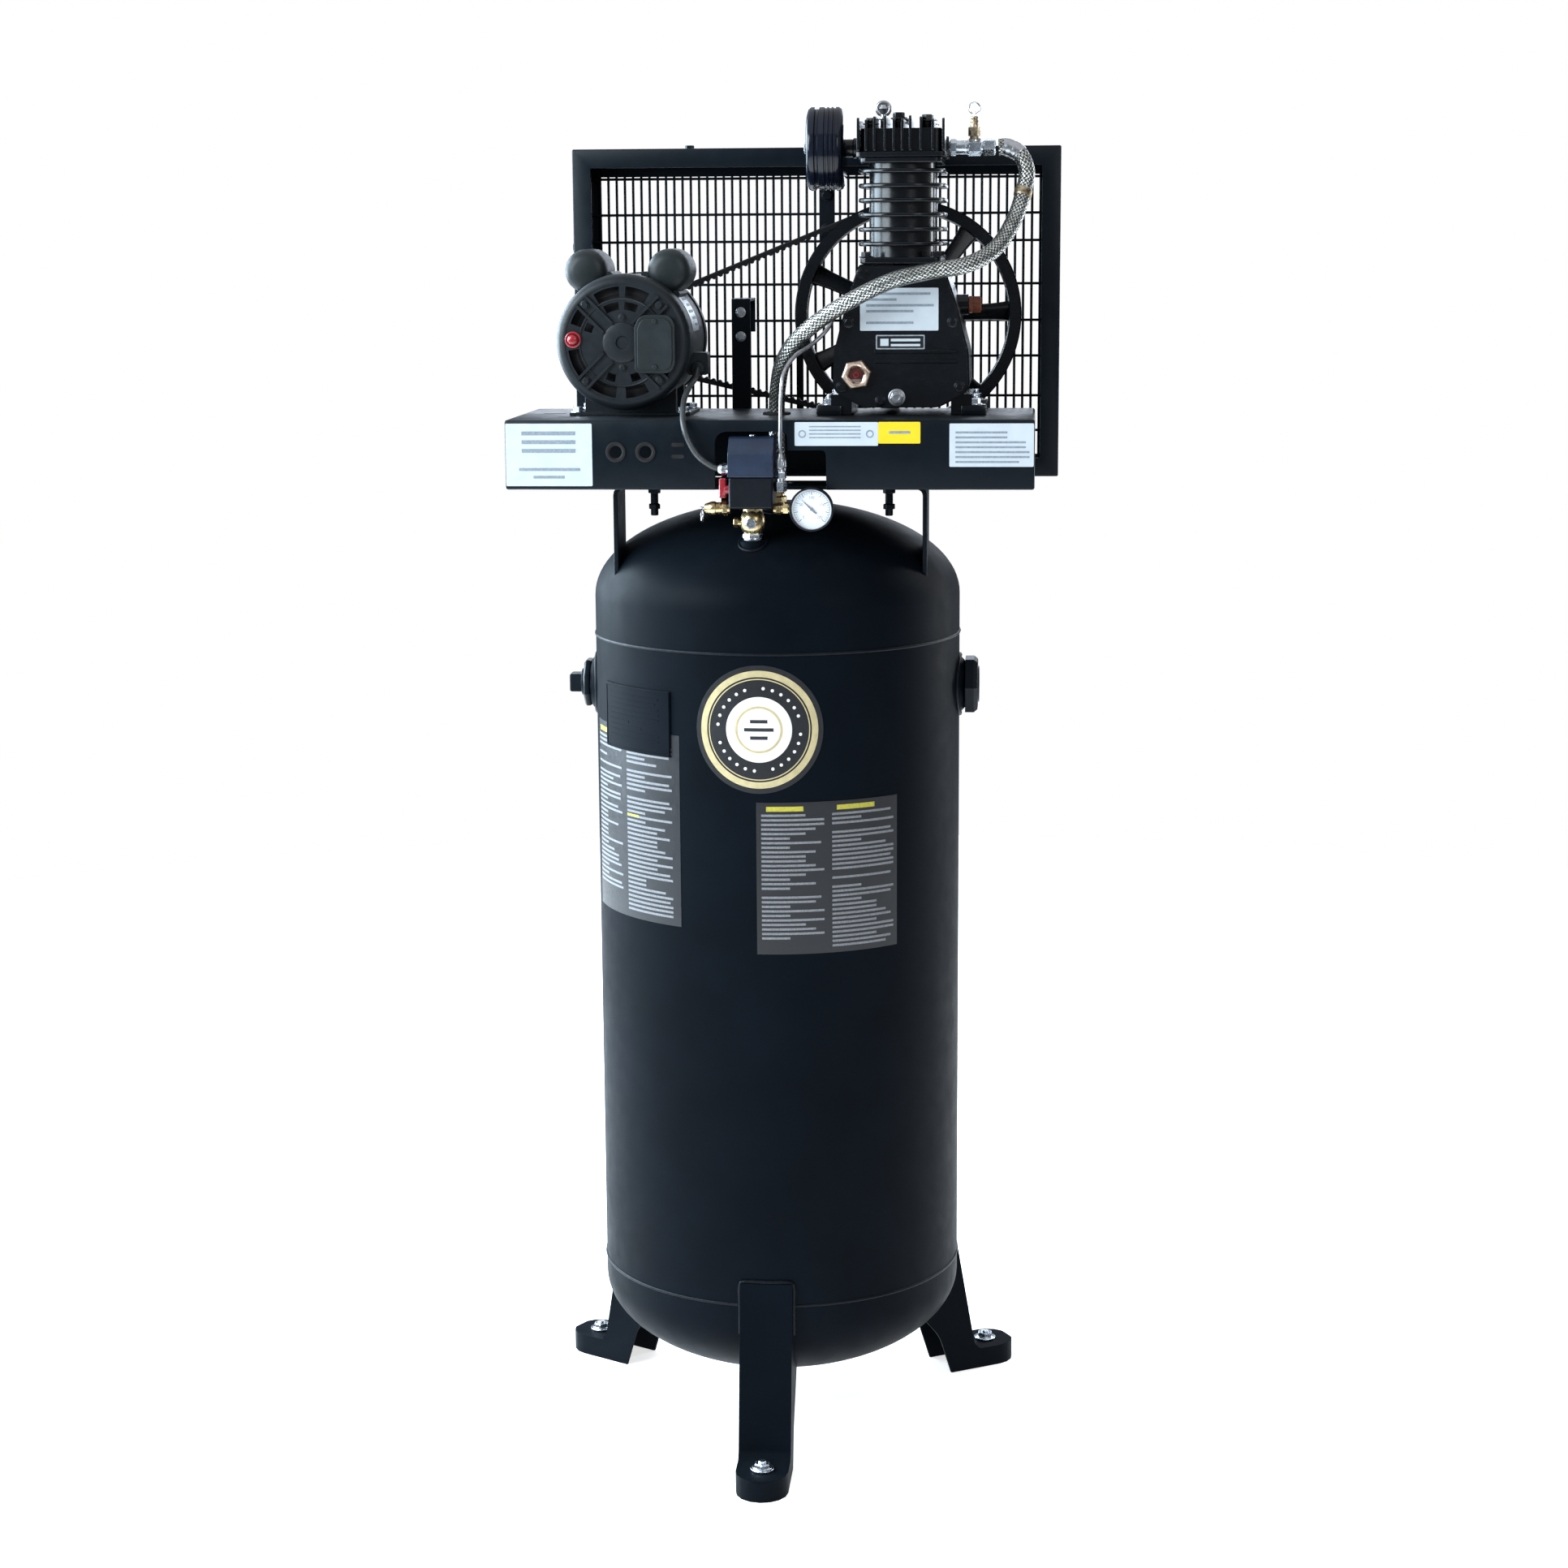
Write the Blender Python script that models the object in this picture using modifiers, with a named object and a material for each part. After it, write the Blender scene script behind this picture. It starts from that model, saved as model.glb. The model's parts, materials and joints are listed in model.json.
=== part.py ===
"""Vertical belt-driven air compressor: a two-cylinder pump and an electric motor on a deck above a tank.

Everything is placed in the tank's frame (tank axis at x = y = 0, floor at z = 0, the deck's front
towards -Y) and hangs from one empty, which moves the middle of the whole machine to the origin.
"""
import math

import bmesh
import bpy
from mathutils import Matrix, Vector

GAP = 0.0003

# tank
TANK_R = 0.254
TANK_WALL = 0.004
HEAD_DEPTH = 0.127
SEAM_LOW = 0.231
SEAM_HIGH = 1.132
TANGENT_LOW = 0.204
TANGENT_HIGH = 1.185
PORT_Z = 1.057
TANK_STEPS = 32

# legs
LEG_AZIMUTHS = {"front": -90.0, "left": 150.0, "right": 30.0}
LEG_HALF = 0.036
LEG_WALL = 0.004
FOOT_TIP = 0.380
FOOT_TOP = 0.030
FOOT_BOLT_R = 0.3385

# deck, its bracket and the belt guard
DECK_X = (-0.345, 0.356)
DECK_Y = (-0.200, 0.070)
DECK_Z = (1.344, 1.436)
DECK_SHEET = 0.004
BRACKET_HALF = 0.2125
BRACKET_Y = (-0.120, -0.040)
BRACKET_WALL = 0.006
GUARD_X = (-0.290, 0.389)
GUARD_Y = (0.0755, 0.160)
GUARD_Z = (1.340, 1.794)
GUARD_LIP = 0.026
GUARD_SHEET = 0.003

# pump
PUMP_X = 0.177
CRANK_Z = 1.5635
CASE_TOP = 1.636
CASE_Y = (-0.112, 0.055)
CYLINDER_Y = (-0.076, 0.016)
CYLINDER_TOP = 1.775
BORE_R = 0.0362
PISTON_R = 0.0355
STROKE = 0.050
HEAD_TOP = 1.828
AIR_Y = -0.030
AIR_Z = 1.789
FILTER_R = 0.0558

# belt drive
BELT_Y = 0.118
FLYWHEEL_R = 0.159
BELT_R_BIG = 0.153
PULLEY_R = 0.047
BELT_R_SMALL = 0.0425
BELT_WIDTH = 0.0125

# motor
MOTOR_X = -0.190
MOTOR_Z = 1.536
MOTOR_R = 0.088
MOTOR_Y = (-0.165, 0.060)
SHELL_Y = (-0.120, 0.030)

# controls on the tank's top
NIPPLE_X = -0.017
NIPPLE_Y = -0.182
SWITCH_X = (-0.045, 0.013)
SWITCH_Y = (-0.222, -0.166)
SWITCH_Z = (1.3205, 1.414)
VALVE_XY = (0.007, -0.0755)
GAUGE_AT = (0.064, -0.209, 1.320)
GAUGE_R = 0.029
GAUGE_ANGLE = 137.0

FRAME_MID_X = (DECK_X[0] + GUARD_X[1]) / 2
FRAME_MID_Y = (TANK_R - FOOT_TIP) / 2

AXES = {"Z": (0, 0, 0), "Y": (-math.pi / 2, 0, 0), "-Y": (math.pi / 2, 0, 0),
        "X": (0, math.pi / 2, 0), "-X": (0, -math.pi / 2, 0)}


def clear_scene():
    for item in list(bpy.data.objects):
        bpy.data.objects.remove(item, do_unlink=True)
    for group in list(bpy.data.collections):
        bpy.data.collections.remove(group)


clear_scene()
PARTS = bpy.data.collections.new("air_compressor")
CUTTERS = bpy.data.collections.new("cutters")
bpy.context.scene.collection.children.link(PARTS)
bpy.context.scene.collection.children.link(CUTTERS)
ORIGIN = bpy.data.objects.new("tank_axis", None)
ORIGIN.location = (-FRAME_MID_X, -FRAME_MID_Y, 0.0)
PARTS.objects.link(ORIGIN)
MATERIALS = {}


def material(name, colour, roughness, metallic):
    shade = bpy.data.materials.new(name)
    shade.use_nodes = True
    shader = shade.node_tree.nodes["Principled BSDF"]
    shader.inputs["Base Color"].default_value = (*colour, 1.0)
    shader.inputs["Roughness"].default_value = roughness
    shader.inputs["Metallic"].default_value = metallic
    shade.diffuse_color = (*colour, 1.0)
    MATERIALS[name] = shade


material("tank_paint", (0.020, 0.026, 0.034), 0.38, 0.0)
material("frame_paint", (0.016, 0.021, 0.028), 0.42, 0.0)
material("motor_paint", (0.030, 0.034, 0.038), 0.50, 0.0)
material("pump_enamel", (0.008, 0.009, 0.012), 0.25, 0.0)
material("zinc", (0.72, 0.72, 0.70), 0.32, 1.0)
material("steel", (0.52, 0.53, 0.54), 0.35, 1.0)
material("brass", (0.72, 0.55, 0.26), 0.30, 1.0)
material("braid", (0.50, 0.49, 0.44), 0.40, 1.0)
material("rubber", (0.012, 0.012, 0.013), 0.70, 0.0)
material("black_plastic", (0.012, 0.014, 0.020), 0.40, 0.0)
material("blue_plastic", (0.018, 0.050, 0.110), 0.45, 0.0)
material("red_plastic", (0.500, 0.030, 0.030), 0.40, 0.0)
material("orange_plastic", (0.520, 0.110, 0.030), 0.45, 0.0)
material("dial", (0.85, 0.87, 0.90), 0.40, 0.0)


def place(item, at=(0, 0, 0), turn=(0, 0, 0), group=None):
    """Hang an object from the tank-axis empty."""
    (group or PARTS).objects.link(item)
    item.parent = ORIGIN
    item.location = at
    item.rotation_euler = turn
    return item


def dress(item, slot):
    """Give a finished sub-part its material and smooth its round faces."""
    item.data.materials.clear()
    item.data.materials.append(MATERIALS[slot])
    return item


def smooth(item, degrees=35.0):
    item.data.shade_smooth()
    item.data.set_sharp_from_angle(angle=math.radians(degrees))
    return item


def from_bmesh(name, shape, at, turn=(0, 0, 0)):
    mesh = bpy.data.meshes.new(name)
    shape.to_mesh(mesh)
    shape.free()
    return smooth(place(bpy.data.objects.new(name, mesh), at, turn))


def box(name, x, y, z):
    """A block between the stated pairs of x, y and z."""
    shape = bmesh.new()
    bmesh.ops.create_cube(shape, size=1.0)
    size = Vector((x[1] - x[0], y[1] - y[0], z[1] - z[0]))
    bmesh.ops.scale(shape, vec=size, verts=shape.verts)
    return from_bmesh(name, shape, ((x[0] + x[1]) / 2, (y[0] + y[1]) / 2, (z[0] + z[1]) / 2))


def prism(name, radius, low, high, at, axis="Z", sides=6, top_radius=None, spin=0.0):
    """A regular prism or cone between two heights along its axis."""
    shape = bmesh.new()
    upper = radius if top_radius is None else top_radius
    bmesh.ops.create_cone(shape, cap_ends=True, segments=sides, radius1=radius, radius2=upper,
                          depth=high - low)
    bmesh.ops.rotate(shape, matrix=Matrix.Rotation(math.radians(spin), 3, "Z"), verts=shape.verts)
    bmesh.ops.translate(shape, vec=(0, 0, (low + high) / 2), verts=shape.verts)
    return from_bmesh(name, shape, at, AXES[axis])


def turned(name, profile, at, axis="Z", steps=32, ring=False):
    """Turn (radius, height) points, listed down the outer side; a ring's profile closes on itself."""
    mesh = bpy.data.meshes.new(name)
    points = [(radius, 0.0, height) for radius, height in profile]
    edges = [(i, i + 1) for i in range(len(points) - 1)]
    if ring:
        edges.append((len(points) - 1, 0))
    mesh.from_pydata(points, edges, [])
    item = place(bpy.data.objects.new(name, mesh), at, AXES[axis])
    screw = item.modifiers.new("turn", "SCREW")
    screw.axis = "Z"
    screw.steps = steps
    screw.render_steps = steps
    screw.use_merge_vertices = True
    screw.merge_threshold = 0.00001
    return item


def to_mesh(item):
    """Replace a curve by its mesh, with the caps welded on."""
    graph = bpy.context.evaluated_depsgraph_get()
    mesh = bpy.data.meshes.new_from_object(item.evaluated_get(graph))
    shape = bmesh.new()
    shape.from_mesh(mesh)
    bmesh.ops.remove_doubles(shape, verts=shape.verts, dist=0.000005)
    shape.to_mesh(mesh)
    shape.free()
    name = item.name
    at = tuple(item.location)
    turn = tuple(item.rotation_euler)
    bpy.data.objects.remove(item, do_unlink=True)
    return smooth(place(bpy.data.objects.new(name, mesh), at, turn))


def filleted(corners, segments=4):
    """Round a polygon's corners: each is (x, y) or (x, y, fillet radius)."""
    outline = []
    for i, corner in enumerate(corners):
        point = Vector(corner[:2])
        radius = corner[2] if len(corner) > 2 else 0.0
        if radius == 0.0:
            outline.append(tuple(point))
            continue
        before = (Vector(corners[i - 1][:2]) - point).normalized()
        after = (Vector(corners[(i + 1) % len(corners)][:2]) - point).normalized()
        half = before.angle(after) / 2
        centre = point + (before + after).normalized() * (radius / math.sin(half))
        start = point + before * (radius / math.tan(half)) - centre
        finish = point + after * (radius / math.tan(half)) - centre
        sweep = start.angle_signed(finish)
        for k in range(segments + 1):
            step = Matrix.Rotation(-sweep * k / segments, 2) @ start
            outline.append(tuple(centre + step))
    return outline


def flat(name, outline, thickness, at, turn=(math.pi / 2, 0, 0), holes=()):
    """A flat outline, made solid; by default it stands in the XZ plane."""
    curve = bpy.data.curves.new(name, "CURVE")
    curve.dimensions = "2D"
    curve.fill_mode = "BOTH"
    curve.extrude = thickness / 2
    for loop in (outline, *holes):
        spline = curve.splines.new("POLY")
        spline.points.add(len(loop) - 1)
        for point, (x, y) in zip(spline.points, loop):
            point.co = (x, y, 0.0, 1.0)
        spline.use_cyclic_u = True
    return to_mesh(place(bpy.data.objects.new(name, curve), at, turn))


def tube(name, points, radius, resolution=2, closed=False):
    """A round bar, wire or hose along the points."""
    curve = bpy.data.curves.new(name, "CURVE")
    curve.dimensions = "3D"
    curve.bevel_depth = radius
    curve.bevel_resolution = resolution
    curve.use_fill_caps = not closed
    spline = curve.splines.new("POLY")
    spline.points.add(len(points) - 1)
    for point, co in zip(spline.points, points):
        point.co = (*co, 1.0)
    spline.use_cyclic_u = closed
    return to_mesh(place(bpy.data.objects.new(name, curve)))


def hidden(item):
    """Move an object to the cutters, where the viewer sees it as wire only."""
    PARTS.objects.unlink(item)
    CUTTERS.objects.link(item)
    item.hide_render = True
    item.display_type = "WIRE"
    return item


def combine(item, other, operation):
    if other.name in PARTS.objects:
        hidden(other)
    change = item.modifiers.new(operation.lower(), "BOOLEAN")
    change.operation = operation
    change.object = other
    return item


def cut(item, *others):
    for other in others:
        combine(item, other, "DIFFERENCE")
    return item


def join(item, *others):
    for other in others:
        combine(item, other, "UNION")
    return item


def rounded(item, width, segments=2):
    bevel = item.modifiers.new("edges", "BEVEL")
    bevel.width = width
    bevel.segments = segments
    bevel.limit_method = "ANGLE"
    bevel.angle_limit = math.radians(40.0)
    return item


def smooth_route(stops, spacing):
    """Points spaced evenly along one smooth curve through the stops."""
    ends = [Vector(stop) for stop in stops]
    padded = [ends[0] * 2 - ends[1], *ends, ends[-1] * 2 - ends[-2]]
    fine = []
    for a, b, c, d in zip(padded, padded[1:], padded[2:], padded[3:]):
        for k in range(24):
            t = k / 24
            fine.append(0.5 * (2 * b + (c - a) * t + (2 * a - 5 * b + 4 * c - d) * t * t
                               + (3 * b - a - 3 * c + d) * t ** 3))
    fine.append(ends[-1])
    reach = [0.0]
    for a, b in zip(fine, fine[1:]):
        reach.append(reach[-1] + (b - a).length)
    count = max(2, round(reach[-1] / spacing))
    route = []
    i = 0
    for k in range(count + 1):
        want = reach[-1] * k / count
        while i < len(fine) - 2 and reach[i + 1] < want:
            i += 1
        share = (want - reach[i]) / (reach[i + 1] - reach[i])
        route.append(fine[i].lerp(fine[i + 1], min(share, 1.0)))
    return route


def circle(centre, radius, count, first=0.0):
    angles = [first + math.tau * k / count for k in range(count)]
    return [(centre[0] + radius * math.cos(a), centre[1] + radius * math.sin(a)) for a in angles]


def dome(radius, depth, middle, count=5):
    """Quarter ellipse from the axis to the tangent line; a negative depth curves down."""
    angles = [math.pi / 2 * k / count for k in range(count)]
    return [(radius * math.sin(a), middle + depth * math.cos(a)) for a in angles]


# ---------------------------------------------------------------- tank

def head_profile(middle, seam, up):
    """One head's wall from its inner pole round its lip to its outer pole, or the reverse."""
    inner_r = TANK_R - TANK_WALL
    lip_r = inner_r - GAP
    inner = dome(inner_r, up * (HEAD_DEPTH - TANK_WALL), middle)
    outer = dome(TANK_R, up * HEAD_DEPTH, middle)
    lip_end = seam - up * 0.018
    lip = [(inner_r, middle), (inner_r, seam + up * 0.010), (lip_r - TANK_WALL, seam + up * 0.004),
           (lip_r - TANK_WALL, lip_end), (lip_r, lip_end), (lip_r, seam + up * GAP),
           (TANK_R, seam + up * GAP), (TANK_R, middle)]
    wall = inner + lip + list(reversed(outer))
    return list(reversed(wall)) if up > 0 else wall


def tank_outline(clearance):
    """The whole tank's outer surface as a solid, a little larger than the tank."""
    grown = TANK_R + clearance
    depth = HEAD_DEPTH + clearance
    lower = list(reversed(dome(grown, -depth, TANGENT_LOW)))
    profile = dome(grown, depth, TANGENT_HIGH) + [(grown, TANGENT_HIGH), (grown, TANGENT_LOW)] + lower
    return hidden(turned("tank_space", profile, (0, 0, 0), steps=TANK_STEPS))


def dome_height(x, y):
    return TANGENT_HIGH + HEAD_DEPTH * math.sqrt(1 - (x * x + y * y) / TANK_R ** 2)


def make_tank():
    inner = TANK_R - TANK_WALL
    wall = [(TANK_R, SEAM_HIGH), (TANK_R, SEAM_LOW), (inner, SEAM_LOW), (inner, SEAM_HIGH)]
    shell = turned("tank_shell", wall, (0, 0, 0), steps=TANK_STEPS, ring=True)
    for axis, side in (("X", 1), ("-X", -1)):
        boss = prism("boss", 0.0415, inner - 0.0015, 0.262, (0, 0, PORT_Z), axis, 24, 0.034)
        join(shell, boss)
    cut(shell, prism("port_hole", 0.0285, -0.3, 0.3, (0, 0, PORT_Z), "X", 24))
    dress(shell, "tank_paint")

    top = turned("tank_top_head", head_profile(TANGENT_HIGH, SEAM_HIGH, 1), (0, 0, 0), steps=TANK_STEPS)
    base_z = dome_height(NIPPLE_X, NIPPLE_Y)
    join(top, prism("nipple_collar", 0.019, base_z - 0.013, base_z + 0.008, (NIPPLE_X, NIPPLE_Y, 0), sides=20))
    cut(top, prism("nipple_hole", 0.0107, base_z - 0.05, base_z + 0.05, (NIPPLE_X, NIPPLE_Y, 0), sides=20))
    valve_z = dome_height(*VALVE_XY)
    join(top, prism("valve_collar", 0.021, valve_z - 0.008, valve_z + 0.006, (*VALVE_XY, 0), sides=20))
    cut(top, prism("valve_hole", 0.0107, valve_z - 0.05, valve_z + 0.05, (*VALVE_XY, 0), sides=20))
    dress(top, "tank_paint")

    low = turned("tank_bottom_head", head_profile(TANGENT_LOW, SEAM_LOW, -1), (0, 0, 0), steps=TANK_STEPS)
    pole = TANGENT_LOW - HEAD_DEPTH
    join(low, prism("drain_collar", 0.016, pole - 0.010, pole + 0.002, (0, 0, 0), sides=20))
    cut(low, prism("drain_hole", 0.0078, pole - 0.03, pole + 0.03, (0, 0, 0), sides=20))
    dress(low, "tank_paint")


def make_side_plugs():
    """A reducing bushing with a square plug on one side, and a large hexagon plug on the other."""
    face = 0.262 + GAP
    left = prism("side_plug_left", 0.0275, 0.249, face + 0.004, (0, 0, PORT_Z), "-X", 24)
    join(left, prism("bushing", 0.0350, face, face + 0.010, (0, 0, PORT_Z), "-X", 8, spin=22.5))
    join(left, prism("square", 0.0180, face + 0.008, 0.294, (0, 0, PORT_Z), "-X", 4, spin=45.0))
    dress(left, "frame_paint")
    right = prism("side_plug_right", 0.0275, 0.249, face + 0.004, (0, 0, PORT_Z), "X", 24)
    join(right, prism("hexagon", 0.0430, face, 0.280, (0, 0, PORT_Z), "X", 6, spin=30.0))
    dress(right, "frame_paint")


def leg_outline(shrink):
    """Side view of a pressed leg, as (distance from the tank's axis, height)."""
    return filleted([(0.2590 - shrink, 0.264 - shrink), (0.3010 - shrink, 0.040, 0.012),
                     (0.3100 - shrink, FOOT_TOP - shrink, 0.010), (FOOT_TIP - shrink, FOOT_TOP - shrink, 0.005),
                     (FOOT_TIP - shrink, -shrink), (0.262 - shrink, -shrink), (0.242 - shrink, 0.060, 0.060),
                     (0.190 - shrink, 0.122), (0.190 - shrink, 0.264 - shrink)], 4)


def leg_plan(shrink):
    """Plan view of a leg: straight sides and a round toe."""
    half = LEG_HALF - shrink
    tip = FOOT_TIP - LEG_HALF
    toe = [(tip + half * math.cos(a), half * math.sin(a))
           for a in [math.radians(-90.0 + 22.5 * k) for k in range(9)]]
    return [(0.15, -half), *toe, (0.15, half)]


def make_leg(name, azimuth, tank_space):
    turn = math.radians(azimuth)
    side = (math.pi / 2, 0, turn)
    leg = flat("leg_" + name, leg_outline(0.0), LEG_HALF * 2, (0, 0, 0), side)
    combine(leg, flat("plan", leg_plan(0.0), 0.7, (0, 0, 0.2), (0, 0, turn)), "INTERSECT")
    hollow = flat("leg_hollow", leg_outline(LEG_WALL), LEG_HALF * 2, (0, 0, 0), side)
    combine(hollow, flat("inner_plan", leg_plan(LEG_WALL), 0.7, (0, 0, 0.2), (0, 0, turn)), "INTERSECT")
    spot = (FOOT_BOLT_R * math.cos(turn), FOOT_BOLT_R * math.sin(turn), 0)
    cut(leg, hollow, prism("bolt_hole", 0.0075, 0.01, 0.05, spot, sides=16), tank_space)
    dress(leg, "tank_paint")

    top = FOOT_TOP + GAP
    bolt = turned("foot_bolt_" + name,
                  [(0, top + 0.0028), (0.016, top + 0.0028), (0.016, top), (0.006, top), (0.006, 0.003), (0, 0.003)],
                  spot, steps=16)
    join(bolt, prism("bolt_head", 0.0115, top + 0.001, top + 0.0115, spot, sides=6, spin=azimuth))
    dress(bolt, "zinc")


def make_drain():
    pole = TANGENT_LOW - HEAD_DEPTH
    body = turned("drain_valve",
                  [(0, pole + 0.008), (0.0074, pole + 0.008), (0.0074, pole - 0.0103), (0.0110, pole - 0.0103),
                   (0.0110, pole - 0.030), (0.0060, pole - 0.034), (0, pole - 0.034)], (0, 0, 0), steps=16)
    dress(body, "brass")
    handle = turned("drain_handle", [(0, -0.0003), (0.0065, -0.0003), (0.0065, -0.012), (0, -0.012)],
                    (0, 0, pole - 0.034), steps=16)
    wing = box("wing", (-0.019, 0.019), (-0.002, 0.002), (pole - 0.046, pole - 0.037))
    join(handle, rounded(wing, 0.0012))
    dress(handle, "brass")


# ---------------------------------------------------------------- deck, bracket and guard

def make_deck(tank_space):
    x0, x1 = DECK_X
    y0, y1 = DECK_Y
    z0, z1 = DECK_Z
    sheet = DECK_SHEET
    deck = rounded(box("deck", DECK_X, DECK_Y, DECK_Z), 0.003)
    cut(deck, box("deck_inside", (x0 - 0.01, x1 + 0.01), (y0 + sheet, y1 - sheet), (z0 + sheet, z1 - sheet)))
    cut(deck, box("deck_slot", (x0 - 0.01, x1 + 0.01), (-0.035, 0.040), (z0 - 0.01, z0 + sheet + 0.001)))
    notch = filleted([(-0.0645, z0 - 0.02), (0.0822, z0 - 0.02), (0.0822, 1.396, 0.006), (0.0310, 1.396),
                      (0.0310, 1.4205, 0.008), (-0.0645, 1.4205, 0.014)], 3)
    cut(deck, flat("switch_notch", notch, 0.02, (0, y0, 0)))
    cut(deck, box("notch_floor", (-0.0645, 0.0822), (y0 - 0.02, -0.03), (z0 - 0.01, z0 + sheet + 0.001)))
    cut(deck, prism("hose_hole", 0.0155, z1 - 0.02, z1 + 0.02, (*VALVE_XY, 0), sides=20))
    for x in (-0.1965, -0.1568):
        cut(deck, prism("cable_hole", 0.0105, y0 - 0.01, y0 + 0.02, (x, 0, 1.394), "Y", 16))
    for x in (-0.160, 0.160):
        cut(deck, prism("bracket_bolt_hole", 0.0055, z0 - 0.01, z0 + 0.01, (x, -0.088, 0), sides=12))
    dress(deck, "frame_paint")

    top = z0 - GAP
    low = 1.15
    outer = [(-BRACKET_HALF, low), (BRACKET_HALF, low), (BRACKET_HALF, top, 0.014), (-BRACKET_HALF, top, 0.014)]
    bracket = flat("deck_bracket", filleted(outer), BRACKET_Y[1] - BRACKET_Y[0], (0, sum(BRACKET_Y) / 2, 0))
    inside = BRACKET_HALF - BRACKET_WALL
    ceiling = top - BRACKET_WALL
    inner = [(-inside, low - 0.01), (inside, low - 0.01), (inside, ceiling, 0.008), (-inside, ceiling, 0.008)]
    cut(bracket, flat("bracket_inside", filleted(inner), 0.2, (0, sum(BRACKET_Y) / 2, 0)))
    cut(bracket, tank_space, prism("bracket_hose_hole", 0.022, 1.30, 1.36, (*VALVE_XY, 0), sides=20))
    for x in (-0.160, 0.160):
        cut(bracket, prism("bolt_hole", 0.0055, top - 0.02, top + 0.02, (x, -0.088, 0), sides=12))
    dress(bracket, "frame_paint")

    post = box("deck_rear_post", (-0.080, -0.010), (0.020, 0.069), (1.25, top))
    cut(post, box("post_inside", (-0.076, -0.014), (0.024, 0.09), (1.24, top - 0.004)), tank_space)
    dress(post, "frame_paint")


def make_guard():
    sheet = GUARD_SHEET
    frame = rounded(box("guard_frame", GUARD_X, GUARD_Y, GUARD_Z), 0.002)
    inside = [(low + sheet, high - sheet) for low, high in (GUARD_X, GUARD_Y, GUARD_Z)]
    window = [(low + GUARD_LIP, high - GUARD_LIP) for low, high in (GUARD_X, GUARD_Z)]
    cut(frame, box("guard_inside", *inside))
    cut(frame, box("guard_window", window[0], (GUARD_Y[0] - 0.02, GUARD_Y[1] + 0.02), window[1]))
    dress(frame, "frame_paint")

    (x0, x1), (y0, y1), (z0, z1) = inside
    edge = 0.0005
    width = x1 - x0 - 2 * edge
    height = z1 - z0 - 2 * edge
    columns, rows, bar = 9, 3, 0.010
    pitch_x = (width - bar) / columns
    pitch_z = (height - bar) / rows
    holes = []
    for i in range(columns):
        for j in range(rows):
            left = -width / 2 + bar + i * pitch_x
            low = -height / 2 + bar + j * pitch_z
            holes.append([(left, low), (left, low + pitch_z - bar), (left + pitch_x - bar, low + pitch_z - bar),
                          (left + pitch_x - bar, low)])
    rim = [(-width / 2, -height / 2), (width / 2, -height / 2), (width / 2, height / 2), (-width / 2, height / 2)]
    at = ((x0 + x1) / 2, y1 - edge - 0.0015, (z0 + z1) / 2)
    dress(flat("guard_grille", rim, 0.003, at, holes=holes), "frame_paint")

    strap_x = (-0.068, -0.042)
    strap = box("guard_strap", strap_x, (DECK_Y[1] + GAP, DECK_Y[1] + GAP + 0.004), (1.372, 1.588))
    join(strap, box("strap_return", strap_x, (DECK_Y[1] + GAP + 0.001, y1 - 0.005), (1.584, 1.588)))
    join(strap, box("strap_tab", strap_x, (y1 - 0.009, y1 - 0.005), (1.540, 1.588)))
    dress(strap, "frame_paint")


# ---------------------------------------------------------------- belt drive

def grooved_ring(rim_r, groove_r, inner_r, half):
    groove = BELT_WIDTH / 2 + 0.0013
    return [(rim_r, half), (rim_r, groove), (groove_r, groove), (groove_r, -groove), (rim_r, -groove),
            (rim_r, -half), (inner_r, -half), (inner_r, half)]


def make_belt_drive():
    centre = (PUMP_X, BELT_Y, CRANK_Z)
    wheel = turned("flywheel", grooved_ring(FLYWHEEL_R, 0.1465, 0.142, 0.014), centre, "Y", 40, True)
    hub = turned("hub", [(0.028, 0.018), (0.028, -0.018), (0.0125, -0.018), (0.0125, 0.018)], centre, "Y", 16, True)
    for k in range(7):
        spoke = box("spoke", (0.020, 0.144), (-0.003, 0.003), (-0.011, 0.011))
        angle = math.radians(2.0 - 360.0 / 7 * k)
        shape = Matrix.Rotation(angle, 4, "Y") @ Matrix.Translation((0.082, 0, 0)) @ Matrix.Rotation(0.35, 4, "X")
        spoke.matrix_local = Matrix.Translation(centre) @ shape
        join(hub, spoke)
    join(wheel, hub)
    dress(wheel, "pump_enamel")

    spot = (MOTOR_X, BELT_Y, MOTOR_Z)
    pulley = turned("motor_pulley", grooved_ring(PULLEY_R, 0.0365, 0.0098, 0.013), spot, "Y", 24, True)
    dress(pulley, "steel")
    make_belt()


def belt_loop(big, small, count_big=24, count_small=10):
    """Outline round both pulleys, as seen from the front."""
    across = PUMP_X - MOTOR_X
    rise = CRANK_Z - MOTOR_Z
    reach = math.hypot(across, rise)
    tilt = math.atan2(rise, across)
    wrap = math.asin((big - small) / reach)
    start = tilt + math.pi / 2 + wrap
    loop = []
    for k in range(count_big + 1):
        angle = tilt - math.pi / 2 - wrap + (math.pi + 2 * wrap) * k / count_big
        loop.append((PUMP_X + big * math.cos(angle), CRANK_Z + big * math.sin(angle)))
    for k in range(count_small + 1):
        angle = start + (math.pi - 2 * wrap) * k / count_small
        loop.append((MOTOR_X + small * math.cos(angle), MOTOR_Z + small * math.sin(angle)))
    return loop


def make_belt():
    outer = belt_loop(BELT_R_BIG + 0.0045, BELT_R_SMALL + 0.0045)
    inner = belt_loop(BELT_R_BIG - 0.0045, BELT_R_SMALL - 0.0045)
    dress(flat("drive_belt", outer, BELT_WIDTH, (0, BELT_Y, 0), holes=(inner,)), "rubber")


# ---------------------------------------------------------------- pump

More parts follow.
